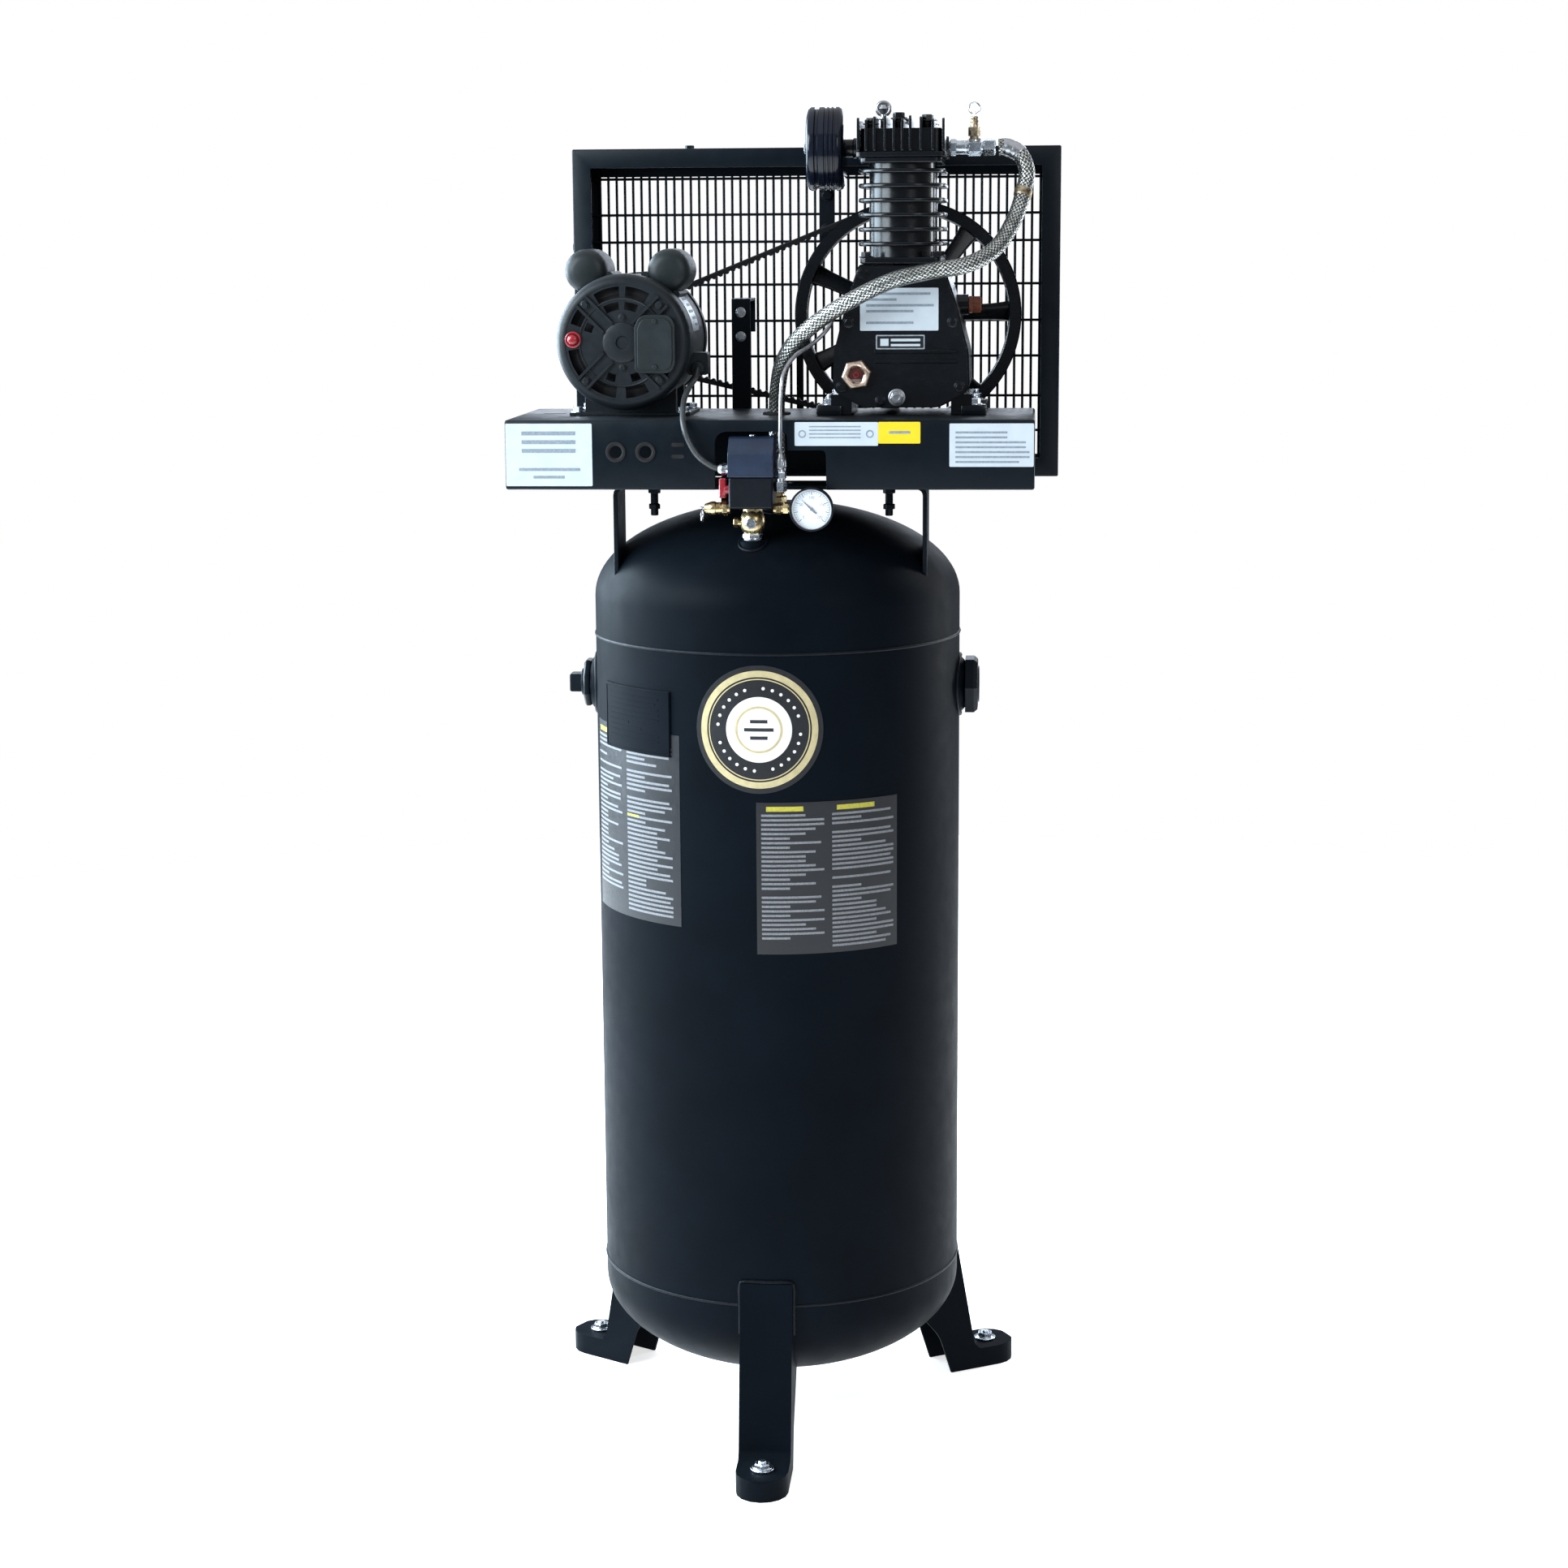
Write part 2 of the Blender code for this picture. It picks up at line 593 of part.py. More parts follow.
def case_outline(shrink, top):
    """Front view of the crankcase: round sump, sloping sides, narrow top."""
    s = shrink
    return filleted([(-0.056 + s, top - s, 0.006), (-0.072 + s, 1.590, 0.050), (-0.090 + s, 1.520, 0.030),
                     (-0.092 + s, 1.468 + s, 0.020), (-0.050 + s, 1.4465 + s, 0.030), (0.050 - s, 1.4465 + s, 0.030),
                     (0.092 - s, 1.468 + s, 0.020), (0.090 - s, 1.520, 0.030), (0.072 - s, 1.590, 0.050),
                     (0.056 - s, top - s, 0.006)], 3)


def make_crankcase():
    y0, y1 = CASE_Y
    case = flat("crankcase", case_outline(0.0, CASE_TOP), y1 - y0, (PUMP_X, (y0 + y1) / 2, 0))
    cavity_y = (y0 - 0.01, y1 - 0.008)
    for x in (-0.097, 0.097):
        for y in (-0.092, 0.032):
            foot = box("foot", (PUMP_X + x - 0.017, PUMP_X + x + 0.017), (y - 0.016, y + 0.016),
                       (DECK_Z[1] + GAP, 1.4500))
            join(case, rounded(foot, 0.002))
        join(case, box("foot_web", (PUMP_X + x * 0.83 - 0.014, PUMP_X + x * 0.83 + 0.014), (-0.104, 0.044),
                       (DECK_Z[1] + GAP + 0.001, 1.4640)))
    cut(case, flat("case_cavity", case_outline(0.007, CASE_TOP), cavity_y[1] - cavity_y[0],
                   (PUMP_X, sum(cavity_y) / 2, 0)))
    cut(case, prism("shaft_hole", 0.0140, 0.02, 0.10, (PUMP_X, 0, CRANK_Z), "Y", 24))
    for y in CYLINDER_Y:
        cut(case, prism("bore_hole", 0.0380, 1.60, 1.66, (PUMP_X, y, 0), sides=16))
    join(case, prism("filler_neck", 0.014, 0.246, 0.264, (0, 0.005, 1.580), "X", 16))
    cut(case, prism("filler_hole", 0.0080, 0.20, 0.30, (0, 0.005, 1.580), "X", 16))
    dress(case, "pump_enamel")

    cover = flat("crankcase_cover", case_outline(0.002, CASE_TOP), 0.012, (PUMP_X, y0 - GAP - 0.006, 0))
    join(cover, prism("bearing_seat", 0.022, y0 - 0.004, y0 + 0.010, (PUMP_X, 0, CRANK_Z), "Y", 24))
    cut(cover, prism("bearing_hole", 0.0130, y0 - 0.007, y0 + 0.02, (PUMP_X, 0, CRANK_Z), "Y", 24))
    for z in (1.5085, 1.5215):
        join(cover, rounded(box("rib", (PUMP_X - 0.035, PUMP_X + 0.075), (y0 - 0.0145, y0 - 0.011),
                                (z - 0.0025, z + 0.0025)), 0.001, 1))
    dress(cover, "pump_enamel")


def make_cylinders():
    lift = CASE_TOP + GAP
    block = flat("cylinder_block", fin_outline(0.054, 0.010), 0.009, (PUMP_X, 0, lift + 0.0045), (0, 0, 0))
    join(block, flat("head_flange", fin_outline(0.054, 0.010), 0.008, (PUMP_X, 0, CYLINDER_TOP - 0.004), (0, 0, 0)))
    for y in CYLINDER_Y:
        join(block, prism("barrel", 0.0440, lift + 0.002, CYLINDER_TOP - 0.001, (PUMP_X, y, 0), sides=16))
    for k in range(6):
        z = lift + 0.026 + 0.0190 * k
        join(block, flat("fin", fin_outline(0.058, 0.050), 0.004, (PUMP_X, 0, z), (0, 0, 0)))
    for y in CYLINDER_Y:
        cut(block, prism("bore", BORE_R, lift - 0.01, CYLINDER_TOP + 0.01, (PUMP_X, y, 0), sides=16))
    dress(block, "pump_enamel")

    travel = ((CYLINDER_Y[0], "piston_front", CYLINDER_TOP - 0.003),
              (CYLINDER_Y[1], "piston_rear", CYLINDER_TOP - 0.003 - STROKE))
    for y, name, crown in travel:
        skirt = 0.044
        piston = turned(name, [(0, 0), (PISTON_R, 0), (PISTON_R, -skirt), (PISTON_R - 0.004, -skirt),
                               (PISTON_R - 0.004, -0.007), (0, -0.007)], (PUMP_X, y, crown), steps=16)
        dress(piston, "steel")


def fin_outline(half, corner):
    """Plan of a plate round both barrels."""
    y0 = CYLINDER_Y[0] - half
    y1 = CYLINDER_Y[1] + half
    return filleted([(-half, y0, corner), (half, y0, corner), (half, y1, corner), (-half, y1, corner)], 3)


def make_head():
    base = CYLINDER_TOP + GAP
    deck_top = base + 0.020
    y0 = CYLINDER_Y[0] - 0.056
    y1 = CYLINDER_Y[1] + 0.056
    head = rounded(box("cylinder_head", (PUMP_X - 0.059, PUMP_X + 0.059), (y0, y1), (base, deck_top)), 0.003)
    for k in range(7):
        x = PUMP_X - 0.052 + 0.01733 * k
        join(head, box("fin", (x - 0.002, x + 0.002), (y0 + 0.003, y1 - 0.003), (deck_top - 0.002, HEAD_TOP)))
    for x, name in ((-0.061, "inlet_boss"), (0.055, "outlet_boss")):
        join(head, prism(name, 0.0150, PUMP_X + x, PUMP_X + x + 0.006, (0, AIR_Y, AIR_Z), "X", 16))
    for x in (-0.075, 0.045):
        cut(head, prism("port", 0.0078, PUMP_X + x, PUMP_X + x + 0.030, (0, AIR_Y, AIR_Z), "X", 16))
    for x in (-0.050, 0.012):
        cut(head, box("chamber", (PUMP_X + x, PUMP_X + x + 0.038), (y0 + 0.012, y1 - 0.012),
                      (base - 0.01, base + 0.013)))
    dress(head, "pump_enamel")

    eye_x = 0.148
    eye = prism("lifting_eye", 0.0040, HEAD_TOP - 0.031, HEAD_TOP + 0.005, (eye_x + 0.0016, AIR_Y, 0), sides=12)
    ring = [(eye_x + 0.0016 + x, AIR_Y, z) for x, z in circle((0, HEAD_TOP + 0.0125), 0.0085, 16)]
    join(eye, tube("eye_ring", ring, 0.0026, 2, True))
    dress(eye, "steel")
    cut(head, prism("eye_hole", 0.0044, HEAD_TOP - 0.0315, HEAD_TOP + 0.01, (eye_x + 0.0016, AIR_Y, 0), sides=12))
    cut(head, prism("eye_space", 0.0130, deck_top + 0.004, HEAD_TOP + 0.01, (eye_x + 0.0016, AIR_Y, 0), sides=16))


def make_air_path():
    spot = (0, AIR_Y, AIR_Z)
    left = PUMP_X - 0.061
    pipe = prism("intake_pipe", 0.0125, 0.0985, left - GAP, spot, "X", 16)
    join(pipe, prism("intake_spigot", 0.0074, 0.092, left + 0.010, spot, "X", 16))
    dress(pipe, "steel")
    filter_low, filter_high = 0.048, 0.0982
    filter_profile = [(0, filter_high), (FILTER_R - 0.0075, filter_high), (FILTER_R, filter_high - 0.006), (FILTER_R, filter_low + 0.022),
                      (FILTER_R - 0.003, filter_low + 0.020), (FILTER_R - 0.003, filter_low + 0.016), (FILTER_R, filter_low + 0.014),
                      (FILTER_R, filter_low + 0.004), (FILTER_R - 0.0075, filter_low), (0, filter_low)]
    canister = turned("air_filter", filter_profile, spot, "X", 24)
    cut(canister, prism("spigot_hole", 0.0078, 0.088, 0.12, spot, "X", 16))
    dress(canister, "black_plastic")

    right = PUMP_X + 0.061
    manifold = prism("discharge_manifold", 0.0074, right - 0.012, 0.3005, spot, "X", 16)
    join(manifold, prism("first_nut", 0.0118, 0.262, 0.281, spot, "X", 6))
    join(manifold, prism("second_nut", 0.0118, 0.283, 0.3000, spot, "X", 6, spin=15.0))
    join(manifold, prism("nipple", 0.0095, right + GAP, 0.264, spot, "X", 16))
    valve_x = 0.2715
    stem_base = AIR_Z + 0.0104
    join(manifold, prism("relief_boss", 0.0065, AIR_Z, stem_base, (valve_x, AIR_Y, 0), sides=12))
    dress(manifold, "zinc")
    low = stem_base + GAP
    valve = turned("head_relief_valve", [(0.0030, low + 0.030), (0.0052, low + 0.027), (0.0052, low + 0.018),
                                         (0.0080, low + 0.016), (0.0080, low + 0.004), (0.0060, low), (0.0030, low)],
                   (valve_x, AIR_Y, 0), steps=16, ring=True)
    dress(valve, "brass")
    pull_ring("head_relief_ring", (valve_x, AIR_Y, low + 0.030), "Z")


def pull_ring(name, at, axis):
    """A relief valve's stem with its pull ring; the stem's own axis is the pull's axis."""
    stem = prism(name, 0.0018, -0.014, 0.006, at, axis, 10)
    middle = Vector(at)
    if axis == "Z":
        loop = [tuple(middle + Vector((x, 0, z))) for x, z in circle((0, 0.0105), 0.0075, 12)]
    else:
        loop = [tuple(middle + Vector((-0.0035, y, z))) for y, z in circle((0, -0.0095), 0.0095, 12)]
    join(stem, tube("ring", loop, 0.0010, 1, True))
    dress(stem, "steel")


def make_oil_fittings():
    face = CASE_Y[0] - GAP - 0.012
    at = (0.118, 0, 1.4912)
    glass = prism("oil_sight_glass", 0.0207, -face + GAP, -face + 0.011, at, "-Y", 6, spin=10.0)
    cut(glass, prism("glass_recess", 0.0105, -face + 0.005, -face + 0.02, at, "-Y", 20))
    dress(glass, "brass")
    cap = turned("oil_fill_cap", [(0, 0.018), (0.010, 0.018), (0.0115, 0.016), (0.0115, 0.0003),
                                  (0.0068, 0.0003), (0.0068, -0.014), (0, -0.014)], (0.264, 0.005, 1.580), "X", 16)
    dress(cap, "orange_plastic")


def make_crankshaft():
    """Main shaft with one throw for each piston, opposite each other."""
    throw = STROKE / 2
    axis = (PUMP_X, 0, CRANK_Z)
    front, rear = CYLINDER_Y
    shaft = prism("crankshaft", 0.0120, rear + 0.019, BELT_Y + 0.022, axis, "Y", 20)
    join(shaft, prism("front_journal", 0.0120, CASE_Y[0] - 0.004, front - 0.019, axis, "Y", 20))
    join(shaft, prism("middle_journal", 0.0120, front + 0.019, rear - 0.019, axis, "Y", 20))
    for y, side in ((CYLINDER_Y[0], 1), (CYLINDER_Y[1], -1)):
        pin_z = CRANK_Z + side * throw
        join(shaft, prism("crank_pin", 0.0115, y - 0.018, y + 0.018, (PUMP_X, 0, pin_z), "Y", 16))
        for low, high in ((y - 0.023, y - 0.015), (y + 0.015, y + 0.023)):
            z_ends = sorted((CRANK_Z - side * 0.020, CRANK_Z + side * (throw + 0.0125)))
            join(shaft, rounded(box("web", (PUMP_X - 0.016, PUMP_X + 0.016), (low, high), z_ends), 0.003, 1))
    dress(shaft, "steel")


# ---------------------------------------------------------------- motor

def make_motor():
    spot = (MOTOR_X, 0, MOTOR_Z)
    inner = MOTOR_R - 0.0035
    y0, y1 = SHELL_Y
    shell = turned("motor_shell", [(MOTOR_R, y1), (MOTOR_R, y0), (inner, y0), (inner, y1)], spot, "Y", 24, True)
    dress(shell, "motor_paint")

    length = -MOTOR_Y[0] + y0
    bell_r = MOTOR_R + 0.002
    bell = turned("motor_end_bell",
                  [(0, 0), (0.030, 0), (bell_r - 0.014, -0.001), (bell_r, -0.014), (bell_r, GAP - length),
                   (inner, GAP - length), (inner, -0.010), (0.0260, -0.006), (0.0260, -0.020), (0.0205, -0.020),
                   (0.0205, -0.006), (0, -0.006)], (MOTOR_X, MOTOR_Y[0], MOTOR_Z), "-Y", 24)
    dress(bell, "motor_paint")
    depth = MOTOR_Y[1] - y1
    drive = turned("motor_drive_bell",
                   [(0.0135, 0), (0.030, 0), (bell_r - 0.012, -0.002), (bell_r, -0.012), (bell_r, GAP - depth),
                    (inner, GAP - depth), (inner, -0.009), (0.0135, -0.006)], (MOTOR_X, MOTOR_Y[1], MOTOR_Z),
                   "Y", 24, True)
    dress(drive, "motor_paint")

    stator = turned("motor_stator", [(inner - GAP, 0.0), (inner - GAP, -0.095), (0.0555, -0.095), (0.0555, 0.0)],
                    spot, "Y", 24, True)
    dress(stator, "steel")
    rotor = turned("motor_rotor", [(0, 0.135), (0.0095, 0.135), (0.0095, -0.005), (0.0530, -0.005), (0.0530, -0.090),
                                   (0.0095, -0.090), (0.0095, -0.156), (0, -0.156)], spot, "Y", 20)
    dress(rotor, "steel")


def make_motor_fittings():
    shell_space = hidden(prism("shell_space", MOTOR_R + GAP, -0.2, 0.1, (MOTOR_X, 0, MOTOR_Z), "Y", 24))
    base_z = DECK_Z[1] + GAP
    base = box("motor_base", (MOTOR_X - 0.082, MOTOR_X + 0.082), (-0.106, 0.020), (base_z, base_z + 0.004))
    for y in (-0.086, 0.004):
        join(base, box("saddle", (MOTOR_X - 0.062, MOTOR_X + 0.062), (y - 0.008, y + 0.008),
                       (base_z + 0.002, 1.474)))
    cut(base, shell_space)
    for x in (-0.072, 0.072):
        for y in (-0.092, 0.006):
            hole = box("slot", (MOTOR_X + x - 0.004, MOTOR_X + x + 0.004), (y - 0.008, y + 0.008),
                       (base_z - 0.01, base_z + 0.02))
            cut(base, hole)
    dress(base, "motor_paint")

    cover_r = 0.0290
    reach = 0.1085
    for name, side in (("left", -1), ("right", 1)):
        angle = math.radians(31.0)
        at = (MOTOR_X + side * reach * math.sin(angle), 0, MOTOR_Z + reach * math.cos(angle))
        profile = [(0, -0.012), (0.018, -0.012), (0.0255, -0.0155), (cover_r, -0.023), (cover_r, -0.108),
                   (0.0255, -0.1155), (0.018, -0.119), (0, -0.119)]
        cover = turned("capacitor_cover_" + name, profile, at, "Y", 18)
        cut(cover, shell_space)
        dress(cover, "motor_paint")

    face = MOTOR_Y[0] - GAP
    cover = box("terminal_cover", (-0.173, -0.119), (face - 0.010, face - 0.0005), (1.496, 1.572))
    dress(rounded(cover, 0.004), "motor_paint")
    button = turned("reset_button", [(0, 0.008), (0.0062, 0.0072), (0.0072, 0.0035), (0.0072, 0.0025), (0, 0.0025)],
                    (-0.2560, face, 1.540), "-Y", 16)
    dress(button, "red_plastic")


# ---------------------------------------------------------------- controls and lines

def make_switch():
    x0, x1 = SWITCH_X
    y0, y1 = SWITCH_Y
    split = 1.362
    base = rounded(box("switch_base", SWITCH_X, SWITCH_Y, (SWITCH_Z[0], split)), 0.002, 1)
    dress(base, "black_plastic")
    outline = [(y0 - 0.001, split + GAP), (y1 + 0.001, split + GAP), (y1 + 0.001, SWITCH_Z[1]),
               (y0 + 0.022, SWITCH_Z[1]), (y0 - 0.001, SWITCH_Z[1] - 0.020)]
    cover = flat("switch_cover", outline, x1 - x0 + 0.002, ((x0 + x1) / 2, 0, 0), (math.pi / 2, 0, math.pi / 2))
    dress(rounded(cover, 0.003), "blue_plastic")

    pivot = (x0 - GAP, -0.204, 1.345)
    lever = prism("switch_lever", 0.0065, 0.0, 0.006, pivot, "-X", 16)
    join(lever, rounded(box("paddle", (x0 - 0.014, x0 - 0.004), (-0.209, -0.199), (1.334, 1.360)), 0.0015, 1))
    dress(lever, "red_plastic")

    base_z = dome_height(NIPPLE_X, NIPPLE_Y)
    nipple = turned("switch_nipple", [(0, SWITCH_Z[0] - GAP), (0.0102, SWITCH_Z[0] - GAP), (0.0102, base_z + 0.040),
                                      (0.0150, base_z + 0.036), (0.0165, base_z + 0.026), (0.0140, base_z + 0.017),
                                      (0.0102, base_z + 0.014), (0.0102, base_z - 0.012), (0, base_z - 0.012)],
                    (NIPPLE_X, NIPPLE_Y, 0), steps=16)
    dress(nipple, "brass")

    outer = [(0.0036, 0.034), (0.0060, 0.032), (0.0092, 0.024), (0.0092, 0.012), (0.0070, 0.010), (0.0070, GAP),
             (0.0036, GAP)]
    relief = turned("tank_relief_valve", outer, (x0, -0.200, 1.320), "-X", 16, True)
    dress(relief, "brass")
    pull_ring("tank_relief_ring", (x0 - 0.034, -0.200, 1.320), "-X")

    gx, gy, gz = GAUGE_AT
    pipe = prism("gauge_pipe", 0.0080, x1 + GAP, gx - GAUGE_R - GAP, (0, gy, gz), "X", 6)
    dress(pipe, "brass")
    case = turned("gauge_case", [(0, 0.004), (GAUGE_R - 0.0025, 0.004), (GAUGE_R - 0.0025, 0.013), (GAUGE_R, 0.013),
                                 (GAUGE_R, -0.013), (0, -0.013)], GAUGE_AT, "-Y", 28)
    dress(case, "black_plastic")
    needle = flat("gauge_needle", [(0.0195, 0), (0, 0.0016), (-0.0085, 0.0012), (-0.0085, -0.0012), (0, -0.0016)],
                  0.0008, (gx, gy - 0.0062, gz), (math.pi / 2, 0, 0))
    turn = Matrix.Rotation(math.radians(GAUGE_ANGLE), 4, "Z")
    needle.data.transform(turn)
    dress(needle, "rubber")


def make_check_valve():
    low = dome_height(*VALVE_XY)
    valve = turned("check_valve", [(0, 1.3475), (0.0085, 1.3475), (0.0085, 1.342), (0.0130, 1.340), (0.0130, low + 0.012),
                                   (0.0102, low + 0.0085), (0.0102, low - 0.012), (0, low - 0.012)],
                   (*VALVE_XY, 0), steps=16)
    dress(valve, "brass")


HOSE_STOPS = [(0.3040, AIR_Y, AIR_Z), (0.3150, -0.030, 1.789), (0.3330, -0.033, 1.779), (0.3420, -0.039, 1.757),
              (0.3380, -0.048, 1.731), (0.3260, -0.068, 1.694), (0.3020, -0.098, 1.656), (0.2650, -0.130, 1.635),
              (0.2190, -0.150, 1.627), (0.1700, -0.156, 1.616), (0.1210, -0.154, 1.594), (0.0710, -0.145, 1.564),
              (0.0360, -0.131, 1.534), (0.0180, -0.112, 1.505), (0.0105, -0.093, 1.475), (0.0075, -0.080, 1.447),
              (0.0070, -0.0755, 1.420), (0.0070, -0.0755, 1.385), (0.0070, -0.0755, 1.3480)]
CABLE_STOPS = [(-0.0975, -0.100, 1.498), (-0.0985, -0.118, 1.487), (-0.1030, -0.150, 1.477), (-0.1070, -0.186, 1.458),
               (-0.1040, -0.2115, 1.426), (-0.0890, -0.2140, 1.394), (-0.0700, -0.2090, 1.377),
               (-0.0570, -0.2060, 1.372), (-0.0470, -0.2060, 1.372)]
UNLOADER_STOPS = [(0.0225, -0.2080, 1.384), (0.0228, -0.2085, 1.420), (0.0240, -0.2050, 1.476),
                  (0.0280, -0.1940, 1.500), (0.0400, -0.1700, 1.518), (0.0600, -0.1420, 1.532),
                  (0.0800, -0.1250, 1.552), (0.0900, -0.1050, 1.575), (0.0980, -0.0900, 1.590)]


def make_lines():
    dress(tube("discharge_hose", smooth_route(HOSE_STOPS, 0.024), 0.0110, 2), "braid")
    dress(tube("motor_cable", smooth_route(CABLE_STOPS, 0.014), 0.0038, 2), "rubber")
    line = tube("unloader_tube", smooth_route(UNLOADER_STOPS, 0.018), 0.0030, 2)
    join(line, turned("unloader_valve", [(0, 1.386), (0.0065, 1.386), (0.0075, 1.383), (0.0075, 1.374), (0.0060, 1.372),
                                         (0.0085, 1.369), (0.0085, 1.342), (0, 1.342)], (0.0225, -0.2080, 0), steps=12))
    dress(line, "zinc")


def make_compressor():
    tank_space = tank_outline(GAP)
    make_tank()
    make_side_plugs()
    for name, azimuth in LEG_AZIMUTHS.items():
        make_leg(name, azimuth, tank_space)
    make_drain()
    make_deck(tank_space)
    make_guard()
    make_belt_drive()
    make_crankcase()
    make_cylinders()
    make_head()
    make_air_path()
    make_oil_fittings()
    make_crankshaft()
    make_motor()
    make_motor_fittings()
    make_switch()
    make_check_valve()
    make_lines()


make_compressor()
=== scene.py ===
# Looks of the vertical air compressor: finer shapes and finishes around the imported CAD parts.
# Shapes are made in the tank's own frame: tank axis at x = y = 0, floor at z = 0, front towards -Y.
import json
import math
import random

import bmesh
import bpy
from mathutils import Matrix, Vector, noise

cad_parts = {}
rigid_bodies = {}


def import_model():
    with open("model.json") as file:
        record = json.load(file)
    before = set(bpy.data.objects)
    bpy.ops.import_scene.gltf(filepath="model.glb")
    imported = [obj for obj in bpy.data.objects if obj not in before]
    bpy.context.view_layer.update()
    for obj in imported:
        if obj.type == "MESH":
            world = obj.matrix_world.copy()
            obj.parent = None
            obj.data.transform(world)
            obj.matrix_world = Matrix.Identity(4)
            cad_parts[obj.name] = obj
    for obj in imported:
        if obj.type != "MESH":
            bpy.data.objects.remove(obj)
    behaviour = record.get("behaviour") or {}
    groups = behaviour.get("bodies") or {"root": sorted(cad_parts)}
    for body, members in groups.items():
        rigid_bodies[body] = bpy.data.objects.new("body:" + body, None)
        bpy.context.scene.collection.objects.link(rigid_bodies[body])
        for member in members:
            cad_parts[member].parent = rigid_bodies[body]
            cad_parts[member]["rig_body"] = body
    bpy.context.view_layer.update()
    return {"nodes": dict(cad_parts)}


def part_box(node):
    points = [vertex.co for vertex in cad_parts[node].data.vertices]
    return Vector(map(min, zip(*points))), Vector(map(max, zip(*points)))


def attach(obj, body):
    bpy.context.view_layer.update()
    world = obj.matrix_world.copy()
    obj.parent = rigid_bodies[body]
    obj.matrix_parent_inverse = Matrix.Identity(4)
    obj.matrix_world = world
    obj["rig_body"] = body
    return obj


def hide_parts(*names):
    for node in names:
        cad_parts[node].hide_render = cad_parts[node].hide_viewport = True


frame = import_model()
NODES = frame["nodes"]

shell_low, shell_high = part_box("tank_shell")
TANK = Vector(((shell_low.x + shell_high.x) / 2, (shell_low.y + shell_high.y) / 2, 0.0))

TANK_R = 0.254
WALL = 0.004
HEAD_DEPTH = 0.127
SEAM_LOW = 0.231
SEAM_HIGH = 1.132
TANGENT_LOW = 0.204
TANGENT_HIGH = 1.185
PORT_Z = 1.057
LEG_AZIMUTHS = (-90.0, 150.0, 30.0)
LEG_HALF = 0.036
DECK_FRONT = -0.200
DECK_Z = (1.344, 1.436)
GUARD_X = (-0.290, 0.389)
GUARD_BACK = 0.160
GUARD_Z = (1.340, 1.794)
PUMP_X = 0.177
CRANK_Z = 1.5635
CASE_FRONT = -0.1243
CASE_TOP = 1.636
CYLINDER_Y = (-0.076, 0.016)
CYLINDER_TOP = 1.775
HEAD_TOP = 1.828
AIR_Y = -0.030
AIR_Z = 1.789
BELT_Y = 0.118
BELT_BIG = 0.153
BELT_SMALL = 0.0425
MOTOR_X = -0.190
MOTOR_Z = 1.536
MOTOR_R = 0.088
CORNERS = (45.0, 135.0, 225.0, 315.0)
MOTOR_REAR = 0.060
CAPACITOR_REACH = 0.1085
MOTOR_FACE = -0.165
SWITCH_X = (-0.045, 0.013)
NIPPLE = (-0.017, -0.182)
VALVE = (0.007, -0.0755)
GAUGE = (0.064, -0.209, 1.320)
GAUGE_R = 0.029

# ---------------------------------------------------------------- camera, light and floor

scene = bpy.context.scene


def aim(item, at, towards, roll=0.0):
    item.location = at
    turn = (Vector(towards) - Vector(at)).to_track_quat("-Z", "Y")
    item.rotation_mode = "QUATERNION"
    item.rotation_quaternion = turn @ Matrix.Rotation(roll, 3, "Z").to_quaternion()
    scene.collection.objects.link(item)
    return item


def make_camera():
    """A standing person's view, a little right of centre and looking down a little."""
    lens = bpy.data.cameras.new("camera")
    lens.sensor_width = 36.0
    lens.lens = 67.57
    yaw, pitch, roll = math.radians(-4.8), 0.1832, -0.0065
    ahead = Vector((math.sin(yaw) * math.cos(pitch), math.cos(yaw) * math.cos(pitch), -math.sin(pitch)))
    at = Vector((0.3494, -4.0751, 1.67)) + TANK
    scene.camera = aim(bpy.data.objects.new("camera", lens), at, at + ahead, roll)


def soft_box(name, at, towards, size, power, colour=(1.0, 1.0, 1.0)):
    light = bpy.data.lights.new(name, "AREA")
    light.shape = "RECTANGLE"
    light.size, light.size_y = size
    light.energy = power
    light.color = colour
    aim(bpy.data.objects.new(name, light), at, towards)


